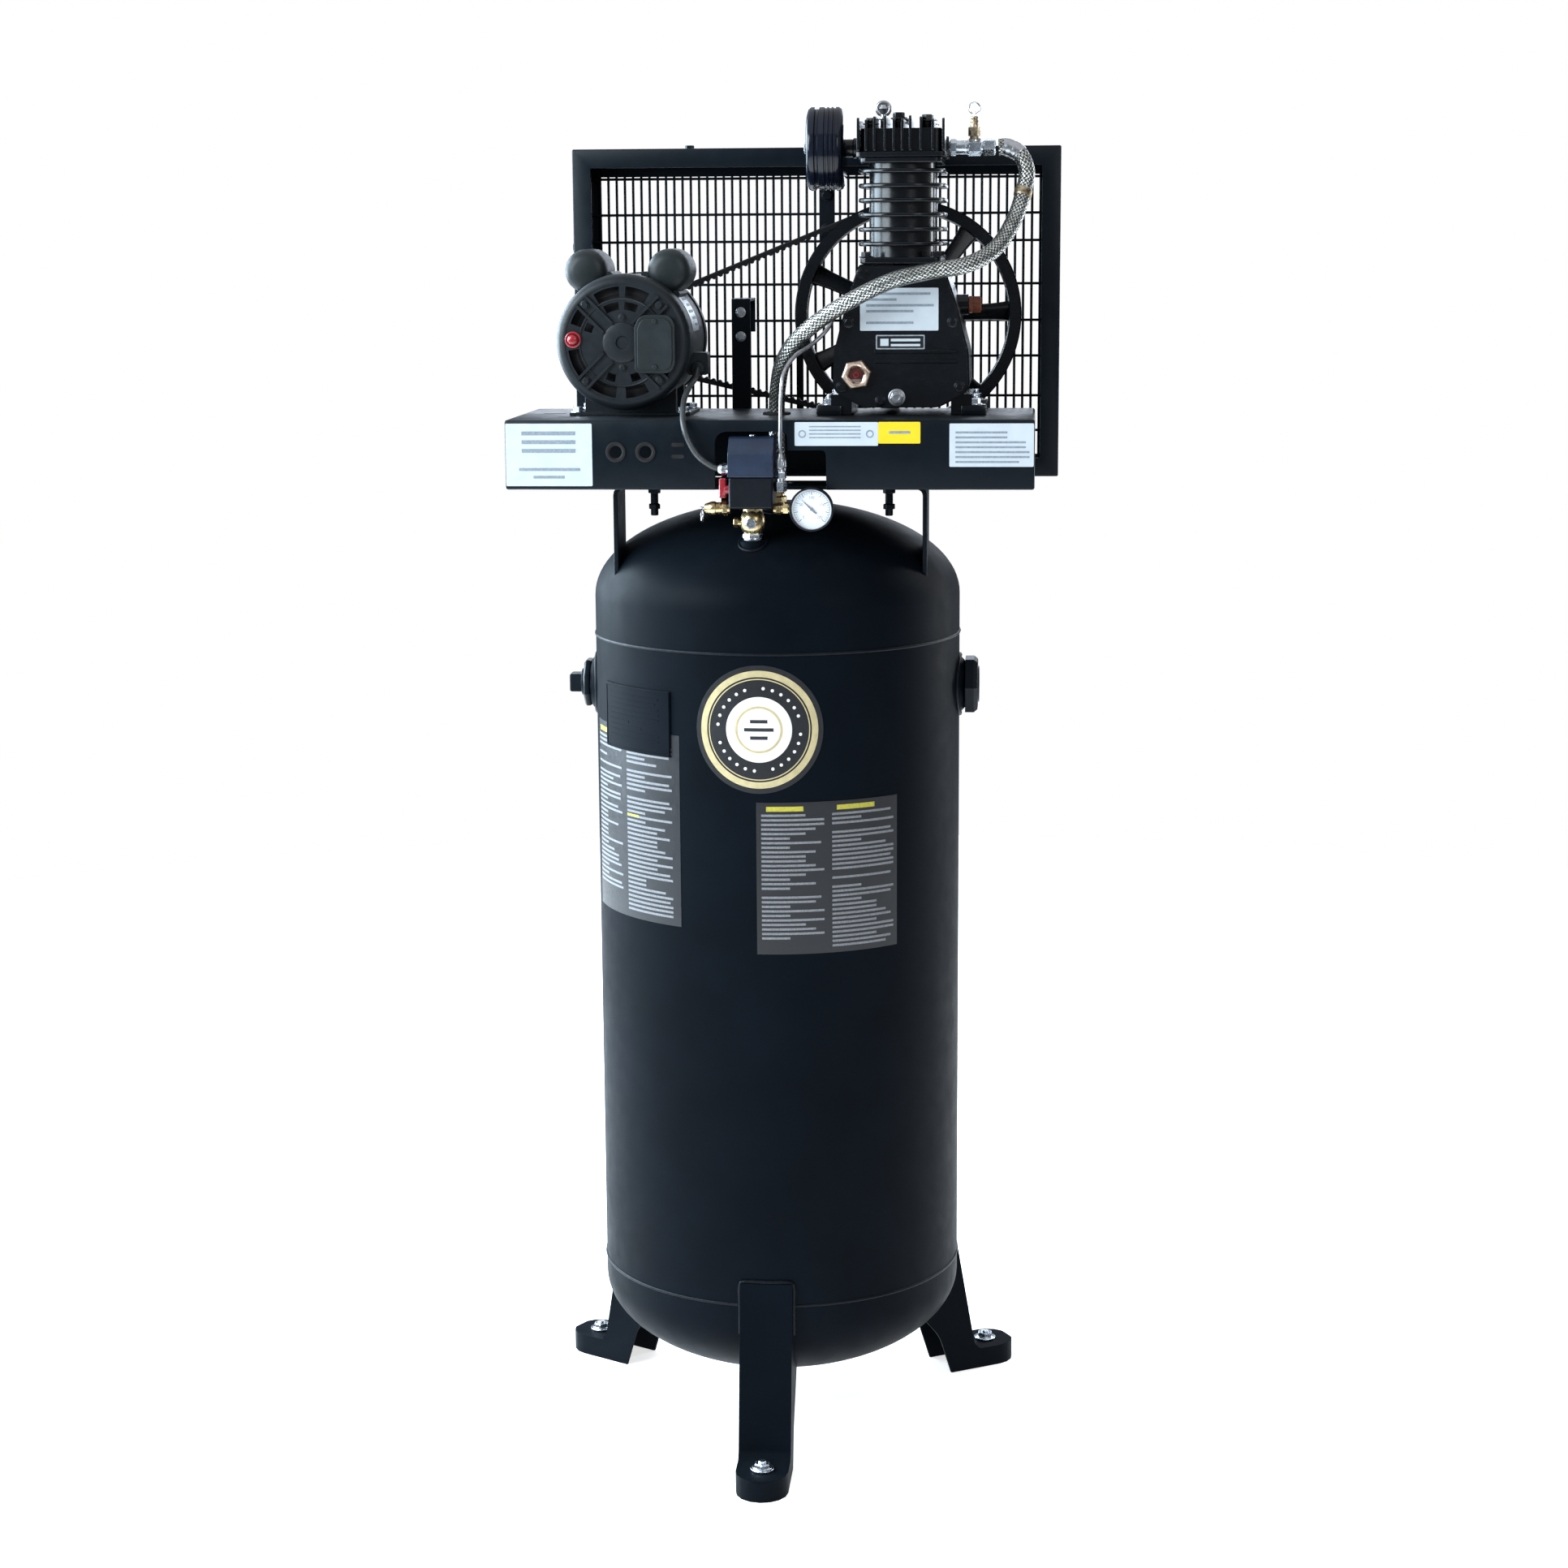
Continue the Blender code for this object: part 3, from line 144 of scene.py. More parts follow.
def make_studio():
    soft_box("left_window", (-2.7, 1.0, 1.9), (0.0, 0.6, 1.2), (3.2, 2.4), 380.0, (0.70, 0.87, 1.0))
    soft_box("left_fill", (-2.5, -1.7, 2.4), (0.0, -0.1, 1.25), (1.8, 1.8), 150.0, (0.80, 0.92, 1.0))
    soft_box("overhead", (0.0, 0.5, 4.6), (0.0, 0.5, 0.0), (8.0, 8.0), 110.0)
    soft_box("front_left", (-2.6, -3.0, 3.3), (0.0, 0.0, 1.4), (1.6, 1.6), 44.0, (0.94, 0.97, 1.0))
    soft_box("front_right", (2.6, -3.6, 3.0), (0.0, 0.0, 1.4), (1.6, 1.6), 44.0, (0.94, 0.97, 1.0))
    soft_box("right_strip", (2.2, 1.7, 1.6), (0.1, 0.0, 1.1), (0.4, 2.4), 34.0, (0.90, 0.95, 1.0))
    soft_box("back_panel", (0.3, 2.9, 2.4), (0.0, 0.0, 1.5), (2.6, 1.6), 45.0, (0.80, 0.88, 1.0))
    scene.view_settings.view_transform = "Standard"

    world = bpy.data.worlds.new("studio")
    scene.world = world
    world.use_nodes = True
    nodes, links = world.node_tree.nodes, world.node_tree.links
    nodes.clear()
    seen = nodes.new("ShaderNodeBackground")
    seen.inputs["Color"].default_value = (1.0, 1.0, 1.0, 1.0)
    lit = nodes.new("ShaderNodeBackground")
    lit.inputs["Color"].default_value = (0.80, 0.88, 1.0, 1.0)
    lit.inputs["Strength"].default_value = 0.22
    path = nodes.new("ShaderNodeLightPath")
    mix = nodes.new("ShaderNodeMixShader")
    out = nodes.new("ShaderNodeOutputWorld")
    links.new(path.outputs["Is Camera Ray"], mix.inputs[0])
    links.new(lit.outputs[0], mix.inputs[1])
    links.new(seen.outputs[0], mix.inputs[2])
    links.new(mix.outputs[0], out.inputs[0])


def make_floor():
    mesh = bpy.data.meshes.new("floor")
    mesh.from_pydata([(x, y, 0.0) for x, y in circle(4.2, 96)], [], [tuple(range(96))])
    floor = bpy.data.objects.new("floor", mesh)
    scene.collection.objects.link(floor)
    paint = surface("floor_paint", (0.86, 0.86, 0.86), 0.70, vary=0.02, mottle=1.5, grain=90, bump=0.02)
    glow = paint.node_tree.nodes["Principled BSDF"].inputs
    glow["Emission Color"].default_value = (1.0, 1.0, 1.0, 1.0)
    glow["Emission Strength"].default_value = 0.70
    mesh.materials.append(paint)


# ---------------------------------------------------------------- finishes

def ramp(tree, source, stops, colours):
    node = tree.nodes.new("ShaderNodeValToRGB")
    node.color_ramp.elements[0].position, node.color_ramp.elements[1].position = stops
    for element, colour in zip(node.color_ramp.elements, colours):
        element.color = (*colour, 1.0)
    tree.links.new(source, node.inputs[0])
    return node.outputs[0]


def grey_ramp(tree, source, stops, levels):
    return ramp(tree, source, stops, [(level,) * 3 for level in levels])


def speckle(tree, where, scale, detail=4.0, stretch=None, kind="ShaderNodeTexNoise"):
    node = tree.nodes.new(kind)
    node.inputs["Scale"].default_value = scale
    if "Detail" in node.inputs:
        node.inputs["Detail"].default_value = detail
    if stretch:
        mapping = tree.nodes.new("ShaderNodeMapping")
        mapping.inputs["Scale"].default_value = stretch
        tree.links.new(where, mapping.inputs["Vector"])
        where = mapping.outputs[0]
    tree.links.new(where, node.inputs["Vector"])
    return node.outputs[0]


def blend_colour(tree, factor, first, second, mode="MIX"):
    node = tree.nodes.new("ShaderNodeMix")
    node.data_type = "RGBA"
    node.blend_type = mode
    for socket, value in ((node.inputs[0], factor), (node.inputs[6], first), (node.inputs[7], second)):
        if isinstance(value, bpy.types.NodeSocket):
            tree.links.new(value, socket)
        else:
            socket.default_value = value if isinstance(value, float) else (*value, 1.0)
    return node.outputs[2]


def surface(name, colour, rough, metal=0.0, vary=0.18, mottle=14.0, grain=420.0, bump=0.08, relief=0.0004,
            uneven=0.06, pale_top=0.0, stretch=None, coat=0.0, tint=None, cells=0.0, shine=0.5):
    """A finish with mottled colour, grainy relief, uneven gloss and optional paler, rougher grey patches on
    upward faces.
    """
    mat = bpy.data.materials.new(name)
    mat.use_nodes = True
    tree = mat.node_tree
    shader = tree.nodes["Principled BSDF"]
    where = tree.nodes.new("ShaderNodeTexCoord").outputs["Object"]

    broad = speckle(tree, where, mottle, 6.0, stretch)
    dark = [c * (1 - vary) for c in colour]
    light = [min(1.0, c * (1 + vary)) for c in (tint or colour)]
    shade = ramp(tree, broad, (0.32, 0.68), (dark, light))
    if cells:
        spangle = speckle(tree, where, cells, kind="ShaderNodeTexVoronoi")
        shade = blend_colour(tree, 0.35, shade, grey_ramp(tree, spangle, (0.0, 0.9), (0.45, 1.0)), "MULTIPLY")
    gloss = grey_ramp(tree, speckle(tree, where, mottle * 5, 3.0, stretch), (0.25, 0.75),
                      (max(0.03, rough - uneven), min(1.0, rough + uneven)))
    # faces that point up get noise patches of paler, rougher grey, stronger the more they point up
    if pale_top:
        geometry = tree.nodes.new("ShaderNodeNewGeometry")
        patchy = speckle(tree, where, 55.0, 8.0)
        split = tree.nodes.new("ShaderNodeSeparateXYZ")
        tree.links.new(geometry.outputs["Normal"], split.inputs[0])
        upward = grey_ramp(tree, split.outputs["Z"], (0.55, 1.0), (0.0, pale_top))
        pale_patches = blend_colour(tree, 1.0, upward, grey_ramp(tree, patchy, (0.30, 0.75), (0.35, 1.0)),
                               "MULTIPLY")
        shade = blend_colour(tree, pale_patches, shade, (0.30, 0.31, 0.31))
        gloss = blend_colour(tree, pale_patches, gloss, (0.80, 0.80, 0.80))
    tree.links.new(shade, shader.inputs["Base Color"])
    tree.links.new(gloss, shader.inputs["Roughness"])
    relief_node = tree.nodes.new("ShaderNodeBump")
    relief_node.inputs["Strength"].default_value = bump
    relief_node.inputs["Distance"].default_value = relief
    tree.links.new(speckle(tree, where, grain, 5.0, stretch), relief_node.inputs["Height"])
    tree.links.new(relief_node.outputs[0], shader.inputs["Normal"])
    shader.inputs["Metallic"].default_value = metal
    shader.inputs["Specular IOR Level"].default_value = shine
    shader.inputs["Coat Weight"].default_value = coat
    shader.inputs["Coat Roughness"].default_value = 0.12
    return mat


def clear_glass(name):
    mat = bpy.data.materials.new(name)
    mat.use_nodes = True
    tree = mat.node_tree
    shader = tree.nodes["Principled BSDF"]
    where = tree.nodes.new("ShaderNodeTexCoord").outputs["Object"]
    smear = grey_ramp(tree, speckle(tree, where, 90.0, 6.0), (0.45, 0.8), (0.02, 0.14))
    tree.links.new(smear, shader.inputs["Roughness"])
    shader.inputs["Base Color"].default_value = (0.90, 0.94, 1.0, 1.0)
    shader.inputs["Alpha"].default_value = 0.10
    return mat


LOOKS = {
    "tank": (surface("tank_paint", (0.0018, 0.0034, 0.0058), 0.50, vary=0.22, mottle=7.0, grain=520,
                     bump=0.10, relief=0.0005, uneven=0.05, pale_top=0.008, shine=0.035), "tank_paint"),
    "weld": (surface("weld_paint", (0.0026, 0.0042, 0.0070), 0.38, vary=0.3, mottle=60, grain=300, bump=0.3,
                     relief=0.0008, shine=0.12), "tank_paint"),
    "frame": (surface("frame_paint", (0.0032, 0.0058, 0.0090), 0.38, vary=0.22, mottle=9.0, grain=600,
                      bump=0.10, relief=0.0004, pale_top=0.06, shine=0.12), "frame_paint"),
    "motor": (surface("motor_paint", (0.0060, 0.0090, 0.0115), 0.44, vary=0.25, mottle=24, grain=700,
                      bump=0.22, relief=0.0004, pale_top=0.05, shine=0.25), "motor_paint"),
    "bakelite": (surface("motor_cover", (0.0110, 0.0152, 0.0168), 0.44, vary=0.2, mottle=35, grain=800,
                         bump=0.18, relief=0.0003, pale_top=0.05, shine=0.25), "motor_paint"),
    "enamel": (surface("pump_enamel", (0.0026, 0.0036, 0.0050), 0.24, vary=0.3, mottle=20, grain=300,
                       bump=0.08, relief=0.0006, uneven=0.05, coat=0.12, shine=0.3), "pump_enamel"),
    "zinc": (surface("zinc_plate", (0.62, 0.68, 0.74), 0.24, 1.0, vary=0.2, mottle=90, grain=500, bump=0.10,
                     cells=260.0, uneven=0.10), "zinc"),
    "steel": (surface("machined_steel", (0.46, 0.47, 0.49), 0.32, 1.0, vary=0.25, mottle=40, grain=260,
                      bump=0.2, relief=0.0003, stretch=(1.0, 6.0, 1.0)), "steel"),
    "chrome": (surface("bright_steel", (0.70, 0.72, 0.74), 0.14, 1.0, vary=0.2, mottle=120, grain=500,
                       bump=0.06),
               "steel"),
    "brass": (surface("brass", (0.44, 0.32, 0.15), 0.30, 1.0, vary=0.3, mottle=80, grain=400, bump=0.15,
                      tint=(0.66, 0.52, 0.29), uneven=0.1), "brass"),
    "rose_brass": (surface("rose_brass", (0.50, 0.36, 0.27), 0.34, 1.0, vary=0.25, mottle=90, grain=420,
                           bump=0.2, tint=(0.78, 0.62, 0.50), uneven=0.1), "brass"),
    "rusty_brass": (surface("tarnished_brass", (0.17, 0.13, 0.08), 0.42, 1.0, vary=0.35, mottle=140,
                            grain=500, bump=0.3, tint=(0.46, 0.38, 0.26), uneven=0.15), "brass"),
    "braid": (surface("steel_braid", (0.50, 0.50, 0.46), 0.31, 1.0, vary=0.22, mottle=40, grain=2600,
                      bump=0.3, relief=0.0003, tint=(0.74, 0.76, 0.74), uneven=0.1), "braid"),
    # near-black metal for the faces sunk between the braid's strands: painted shade in the gaps of the weave
    "braid_gap_shade": (surface("braid_shadow", (0.045, 0.048, 0.045), 0.5, 0.6, vary=0.3, mottle=90, grain=2000,
                          bump=0.3, relief=0.0003), "braid"),
    "rubber": (surface("rubber", (0.0100, 0.0100, 0.0110), 0.62, vary=0.3, mottle=60, grain=900, bump=0.3,
                       relief=0.0003, pale_top=0.04, shine=0.18), "rubber"),
    "cord": (surface("cable_jacket", (0.0300, 0.0340, 0.0360), 0.38, vary=0.25, mottle=80, grain=900,
                     bump=0.2, relief=0.0003), "rubber"),
    "black": (surface("black_plastic", (0.0045, 0.0058, 0.0088), 0.34, vary=0.2, mottle=45, grain=900,
                      bump=0.25, relief=0.0002, shine=0.22), "black_plastic"),
    "filter": (surface("filter_plastic", (0.0040, 0.0060, 0.0120), 0.16, vary=0.25, mottle=30, grain=240,
                       bump=0.08, coat=0.12, shine=0.30), "black_plastic"),
    "blue": (surface("blue_plastic", (0.0090, 0.0180, 0.0400), 0.36, vary=0.18, mottle=50, grain=1100,
                     bump=0.25, relief=0.0002), "blue_plastic"),
    "red": (surface("red_plastic", (0.22, 0.007, 0.013), 0.30, vary=0.18, mottle=120, grain=900, bump=0.1,
                    coat=0.4), "red_plastic"),
    "orange": (surface("orange_plastic", (0.15, 0.040, 0.016), 0.40, vary=0.25, mottle=120, grain=700,
                       bump=0.2),
               "orange_plastic"),
    "oil": (surface("dark_oil", (0.050, 0.010, 0.006), 0.06, vary=0.4, mottle=160, grain=200, bump=0.02,
                    coat=1.0), "glass"),
    "glass": (clear_glass("gauge_glass"), "glass"),
    "dial": (surface("dial_face", (0.84, 0.90, 0.96), 0.40, vary=0.04, mottle=60, grain=900, bump=0.05),
             "dial"),
    "ink": (surface("dial_ink", (0.010, 0.012, 0.020), 0.45, vary=0.2, mottle=200, grain=900, bump=0.05),
            "dial"),
    "white": (surface("white_label", (0.46, 0.51, 0.55), 0.42, vary=0.05, mottle=40, grain=900, bump=0.05),
              "label"),
    "yellow": (surface("yellow_label", (0.70, 0.50, 0.010), 0.42, vary=0.05, mottle=40, grain=900, bump=0.05),
               "label"),
    "night": (surface("black_label", (0.0050, 0.0060, 0.0085), 0.36, vary=0.1, mottle=40, grain=900,
                      bump=0.05),
              "label"),
    "grey": (surface("grey_print", (0.155, 0.160, 0.170), 0.45, vary=0.30, mottle=600, grain=900, bump=0.05),
             "label"),
    "mid": (surface("slate_print", (0.20, 0.24, 0.28), 0.45, vary=0.20, mottle=500, grain=900, bump=0.05),
            "label"),
    "gold": (surface("gold_print", (0.52, 0.44, 0.24), 0.34, 0.25, vary=0.12, mottle=90, grain=900,
                     bump=0.05),
             "label"),
    "cream": (surface("cream_print", (0.66, 0.63, 0.58), 0.42, vary=0.05, mottle=60, grain=900, bump=0.05),
              "label"),
    "ochre": (surface("ochre_print", (0.40, 0.36, 0.03), 0.42, vary=0.15, mottle=300, grain=900, bump=0.05),
              "label"),
    "foil": (surface("foil_label", (0.50, 0.56, 0.60), 0.30, 0.7, vary=0.25, mottle=160, grain=600,
                     bump=0.15),
             "label"),
}

# ---------------------------------------------------------------- mesh kit: a part is (points, faces)

TURNS = {"Z": Matrix.Identity(4), "Y": Matrix.Rotation(-math.pi / 2, 4, "X"),
         "-Y": Matrix.Rotation(math.pi / 2, 4, "X"), "X": Matrix.Rotation(math.pi / 2, 4, "Y"),
         "-X": Matrix.Rotation(-math.pi / 2, 4, "Y"), "-Z": Matrix.Rotation(math.pi, 4, "X")}


def moved(part, at=(0, 0, 0), axis="Z", spin=0.0):
    matrix = Matrix.Translation(at) @ TURNS[axis] @ Matrix.Rotation(math.radians(spin), 4, "Z")
    return [tuple(matrix @ Vector(point)) for point in part[0]], part[1]


def merged(*parts):
    points, faces = [], []
    for some, more in parts:
        base = len(points)
        points.extend(some)
        faces.extend(tuple(base + i for i in face) for face in more)
    return points, faces


def lathe(profile, steps=64, at=(0, 0, 0), axis="Z", spin=0.0):
    """Turn (radius, height) points; a profile that doesn't run from axis to axis closes on itself."""
    points, rows = [], []
    for radius, height in profile:
        count = steps if radius > 0 else 1
        rows.append(list(range(len(points), len(points) + count)))
        for k in range(count):
            angle = math.tau * k / steps
            points.append((radius * math.cos(angle), radius * math.sin(angle), height))
    pairs = list(zip(rows, rows[1:]))
    if profile[0][0] > 0 or profile[-1][0] > 0:
        pairs.append((rows[-1], rows[0]))
    faces = []
    for a, b in pairs:
        for k in range(steps):
            n = (k + 1) % steps
            corners = [a[k % len(a)], b[k % len(b)], b[n % len(b)], a[n % len(a)]]
            face = tuple(dict.fromkeys(corners))
            if len(face) > 2:
                faces.append(face)
    return moved((points, faces), at, axis, spin)


def disc(radius, low, high, steps=48, edge=0.0, **where):
    """A short cylinder with its rims broken by the edge width."""
    if edge:
        profile = [(0, high), (radius - edge, high), (radius - edge * 0.3, high - edge * 0.3),
                   (radius, high - edge),
                   (radius, low + edge), (radius - edge * 0.3, low + edge * 0.3), (radius - edge, low),
                   (0, low)]
    else:
        profile = [(0, high), (radius, high), (radius, low), (0, low)]
    return lathe(profile, steps, **where)


def hexagon(radius, low, high, sides=6, **where):
    """A nut or bolt head: a prism with chamfered corners."""
    drop = min(0.12 * radius, (high - low) / 3)
    return lathe([(0, high), (radius * 0.89, high), (radius, high - drop), (radius, low), (0, low)], sides,
                 **where)


def bolt(size, at, axis="Z", spin=0.0, washer=True, head=0.65):
    """A hexagon head on a washer, standing on the point along the axis."""
    rise = 0.16 * size if washer else 0.0
    shape = hexagon(size, rise - 0.0002, rise + head * size)
    if washer:
        shape = merged(shape, disc(size * 1.35, -0.0008, rise, 32, 0.12 * size))
    return moved(shape, at, axis, spin)


def block(x, y, z):
    points = [(a, b, c) for a in x for b in y for c in z]
    return points, [(0, 1, 3, 2), (4, 6, 7, 5), (0, 4, 5, 1), (2, 3, 7, 6), (0, 2, 6, 4), (1, 5, 7, 3)]


def circle(radius, count, centre=(0.0, 0.0), first=0.0):
    return [(centre[0] + radius * math.cos(first + math.tau * k / count),
             centre[1] + radius * math.sin(first + math.tau * k / count)) for k in range(count)]


def sweep(path, section, closed=False, side=None, scales=None):
    """Carry a section along a path, without twist, or square to a fixed side direction."""
    path = [Vector(p) for p in path]
    count = len(path)
    tangents = []
    for k in range(count):
        ahead = path[(k + 1) % count] if closed or k < count - 1 else path[k]
        behind = path[k - 1] if closed or k > 0 else path[k]
        tangents.append((ahead - behind).normalized())
    across = tangents[0].orthogonal().normalized()
    points = []
    for k in range(count):
        if side:
            across = tangents[k].cross(Vector(side)).normalized()
        else:
            across = (across - tangents[k] * across.dot(tangents[k])).normalized()
        up = tangents[k].cross(across)
        scale = scales[k] if scales else 1.0
        points.extend(tuple(path[k] + across * (u * scale) + up * (v * scale)) for u, v in section)
    width = len(section)
    faces = []
    for k in range(count if closed else count - 1):
        a, b = k * width, ((k + 1) % count) * width
        for i in range(width):
            j = (i + 1) % width
            faces.append((a + i, a + j, b + j, b + i))
    if not closed:
        faces.append(tuple(range(width)))
        faces.append(tuple(range((count - 1) * width, count * width)))
    return points, faces


def tube(path, radius, sides=14, closed=False, scales=None):
    return sweep(path, circle(radius, sides), closed, scales=scales)


def extruded(outline, low, high, at=(0, 0, 0), axis="Z", spin=0.0):
    count = len(outline)
    points = [(x, y, low) for x, y in outline] + [(x, y, high) for x, y in outline]
    faces = [tuple(range(count)), tuple(range(count, 2 * count))]
    faces += [(k, (k + 1) % count, count + (k + 1) % count, count + k) for k in range(count)]
    return moved((points, faces), at, axis, spin)


def rounded_corners(corners, segments=6):
    """Fillet a polygon's corners: each is (x, y) or (x, y, radius)."""
    outline = []
    for i, corner in enumerate(corners):
        point = Vector(corner[:2])
        if len(corner) < 3:
            outline.append(tuple(point))
            continue
        before = (Vector(corners[i - 1][:2]) - point).normalized()
        after = (Vector(corners[(i + 1) % len(corners)][:2]) - point).normalized()
        half = before.angle(after) / 2
        centre = point + (before + after).normalized() * (corner[2] / math.sin(half))
        start = point + before * (corner[2] / math.tan(half)) - centre
        sweep_angle = start.angle_signed(point + after * (corner[2] / math.tan(half)) - centre)
        for k in range(segments + 1):
            outline.append(tuple(centre + Matrix.Rotation(-sweep_angle * k / segments, 2) @ start))
    return outline


def panel(x, z, radius, segments=5):
    """A rectangle with round corners."""
    corners = [(x[0], z[0], radius), (x[1], z[0], radius), (x[1], z[1], radius), (x[0], z[1], radius)]
    return rounded_corners(corners, segments)


def pierced(outline, holes, low, high, at=(0, 0, 0), axis="Z"):
    """A flat plate with holes through it."""
    curve = bpy.data.curves.new("pierced", "CURVE")
    curve.dimensions = "2D"
    curve.fill_mode = "BOTH"
    curve.extrude = (high - low) / 2
    for loop in (outline, *holes):
        spline = curve.splines.new("POLY")
        spline.points.add(len(loop) - 1)
        for point, (x, y) in zip(spline.points, loop):
            point.co = (x, y, 0.0, 1.0)
        spline.use_cyclic_u = True
    item = bpy.data.objects.new("pierced", curve)
    scene.collection.objects.link(item)
    mesh = bpy.data.meshes.new_from_object(item.evaluated_get(bpy.context.evaluated_depsgraph_get()))
    lift = (low + high) / 2
    part = ([(v.co.x, v.co.y, v.co.z + lift) for v in mesh.vertices],
            [tuple(p.vertices) for p in mesh.polygons])
    bpy.data.objects.remove(item)
    bpy.data.meshes.remove(mesh)
    return moved(part, at, axis)


def arc_slot(inner, outer, start, finish, steps=10):
    angles = [math.radians(start + (finish - start) * k / steps) for k in range(steps + 1)]
    ring = [(outer * math.cos(a), outer * math.sin(a)) for a in angles]
    return ring + [(inner * math.cos(a), inner * math.sin(a)) for a in reversed(angles)]


def smooth_route(stops, spacing):
    """Points spaced evenly along one smooth curve through the stops."""
    ends = [Vector(stop) for stop in stops]
    padded = [ends[0] * 2 - ends[1], *ends, ends[-1] * 2 - ends[-2]]
    fine = []
    for a, b, c, d in zip(padded, padded[1:], padded[2:], padded[3:]):
        for k in range(24):
            t = k / 24
            fine.append(0.5 * (2 * b + (c - a) * t + (2 * a - 5 * b + 4 * c - d) * t * t
                               + (3 * b - a - 3 * c + d) * t ** 3))
    fine.append(ends[-1])
    reach = [0.0]
    for a, b in zip(fine, fine[1:]):
        reach.append(reach[-1] + (b - a).length)
    count = max(2, round(reach[-1] / spacing))
    route, i = [], 0
    for k in range(count + 1):
        want = reach[-1] * k / count
        while i < len(fine) - 2 and reach[i + 1] < want:
            i += 1
        share = (want - reach[i]) / (reach[i + 1] - reach[i])
        route.append(fine[i].lerp(fine[i + 1], min(share, 1.0)))
    return route


def piece(name, part, look, body="frame", replaces=(), bevel=0.0, soft=32.0, segments=2):
    """Make a part into an object with a finish, which rides on a CAD body."""
    mesh = bpy.data.meshes.new(name)
    mesh.from_pydata(*[part[0], [], part[1]])
    shape = bmesh.new()
    shape.from_mesh(mesh)
    bmesh.ops.remove_doubles(shape, verts=shape.verts, dist=0.000002)
    bmesh.ops.recalc_face_normals(shape, faces=shape.faces)
    shape.to_mesh(mesh)
    shape.free()
    item = bpy.data.objects.new(name, mesh)
    item.location = TANK
    return finish_piece(item, look, body, replaces, bevel, soft, segments)


def finish_piece(item, look, body, replaces, bevel, soft, segments):
    scene.collection.objects.link(item)
    item.data.shade_smooth()
    item.data.set_sharp_from_angle(angle=math.radians(soft))
    if bevel:
        edges = item.modifiers.new("edges", "BEVEL")
        edges.width = bevel
        edges.segments = segments
        edges.limit_method = "ANGLE"
        edges.angle_limit = math.radians(soft)
        edges.harden_normals = True
    material, slot = LOOKS[look]
    item.data.materials.clear()
    item.data.materials.append(material)
    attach(item, body)
    if replaces:
        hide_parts(*([replaces] if isinstance(replaces, str) else replaces))
    return item


def refine(node, look, bevel=0.0012, soft=32.0, segments=2):
    """Stand a copy of a CAD node, with its hard edges rounded, in the node's place."""
    mesh = NODES[node].data.copy()
    for name in ("custom_normal", "sharp_edge", "sharp_face"):
        if name in mesh.attributes:
            mesh.attributes.remove(mesh.attributes[name])
    shape = bmesh.new()
    shape.from_mesh(mesh)
    bmesh.ops.remove_doubles(shape, verts=shape.verts, dist=0.00002)
    bmesh.ops.dissolve_limit(shape, angle_limit=math.radians(0.4), verts=shape.verts, edges=shape.edges)
    shape.to_mesh(mesh)
    shape.free()
    item = bpy.data.objects.new(node + "_fine", mesh)
    return finish_piece(item, look, NODES[node]["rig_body"], node, bevel, soft, segments)


# ---------------------------------------------------------------- tank

def dome(radius, depth, middle, count=26):
    angles = [math.pi / 2 * k / count for k in range(count + 1)]
    return [(radius * math.sin(a) if k else 0.0, middle + depth * math.cos(a)) for k, a in enumerate(angles)]


def dome_height(x, y):
    return TANGENT_HIGH + HEAD_DEPTH * math.sqrt(1 - (x * x + y * y) / TANK_R ** 2)


def weld(path, radius, pitch=0.0034, closed=False, seed=0.0):
    """A weld bead half sunk in the metal, with its stacked ripples."""
    step = pitch / 3
    route = smooth_route(path, step) if not closed else [Vector(p) for p in path]
    scales = []
    for k in range(len(route)):
        ripple = (1.0, 1.07, 0.94)[k % 3]
        scales.append(ripple + 0.10 * noise.noise(Vector((k * 0.11, seed, 0.0))))
    return tube(route, radius, 8, closed, scales)


def around(radius, z, count, centre=(0.0, 0.0)):
    return [(x, y, z) for x, y in circle(radius, count, centre)]


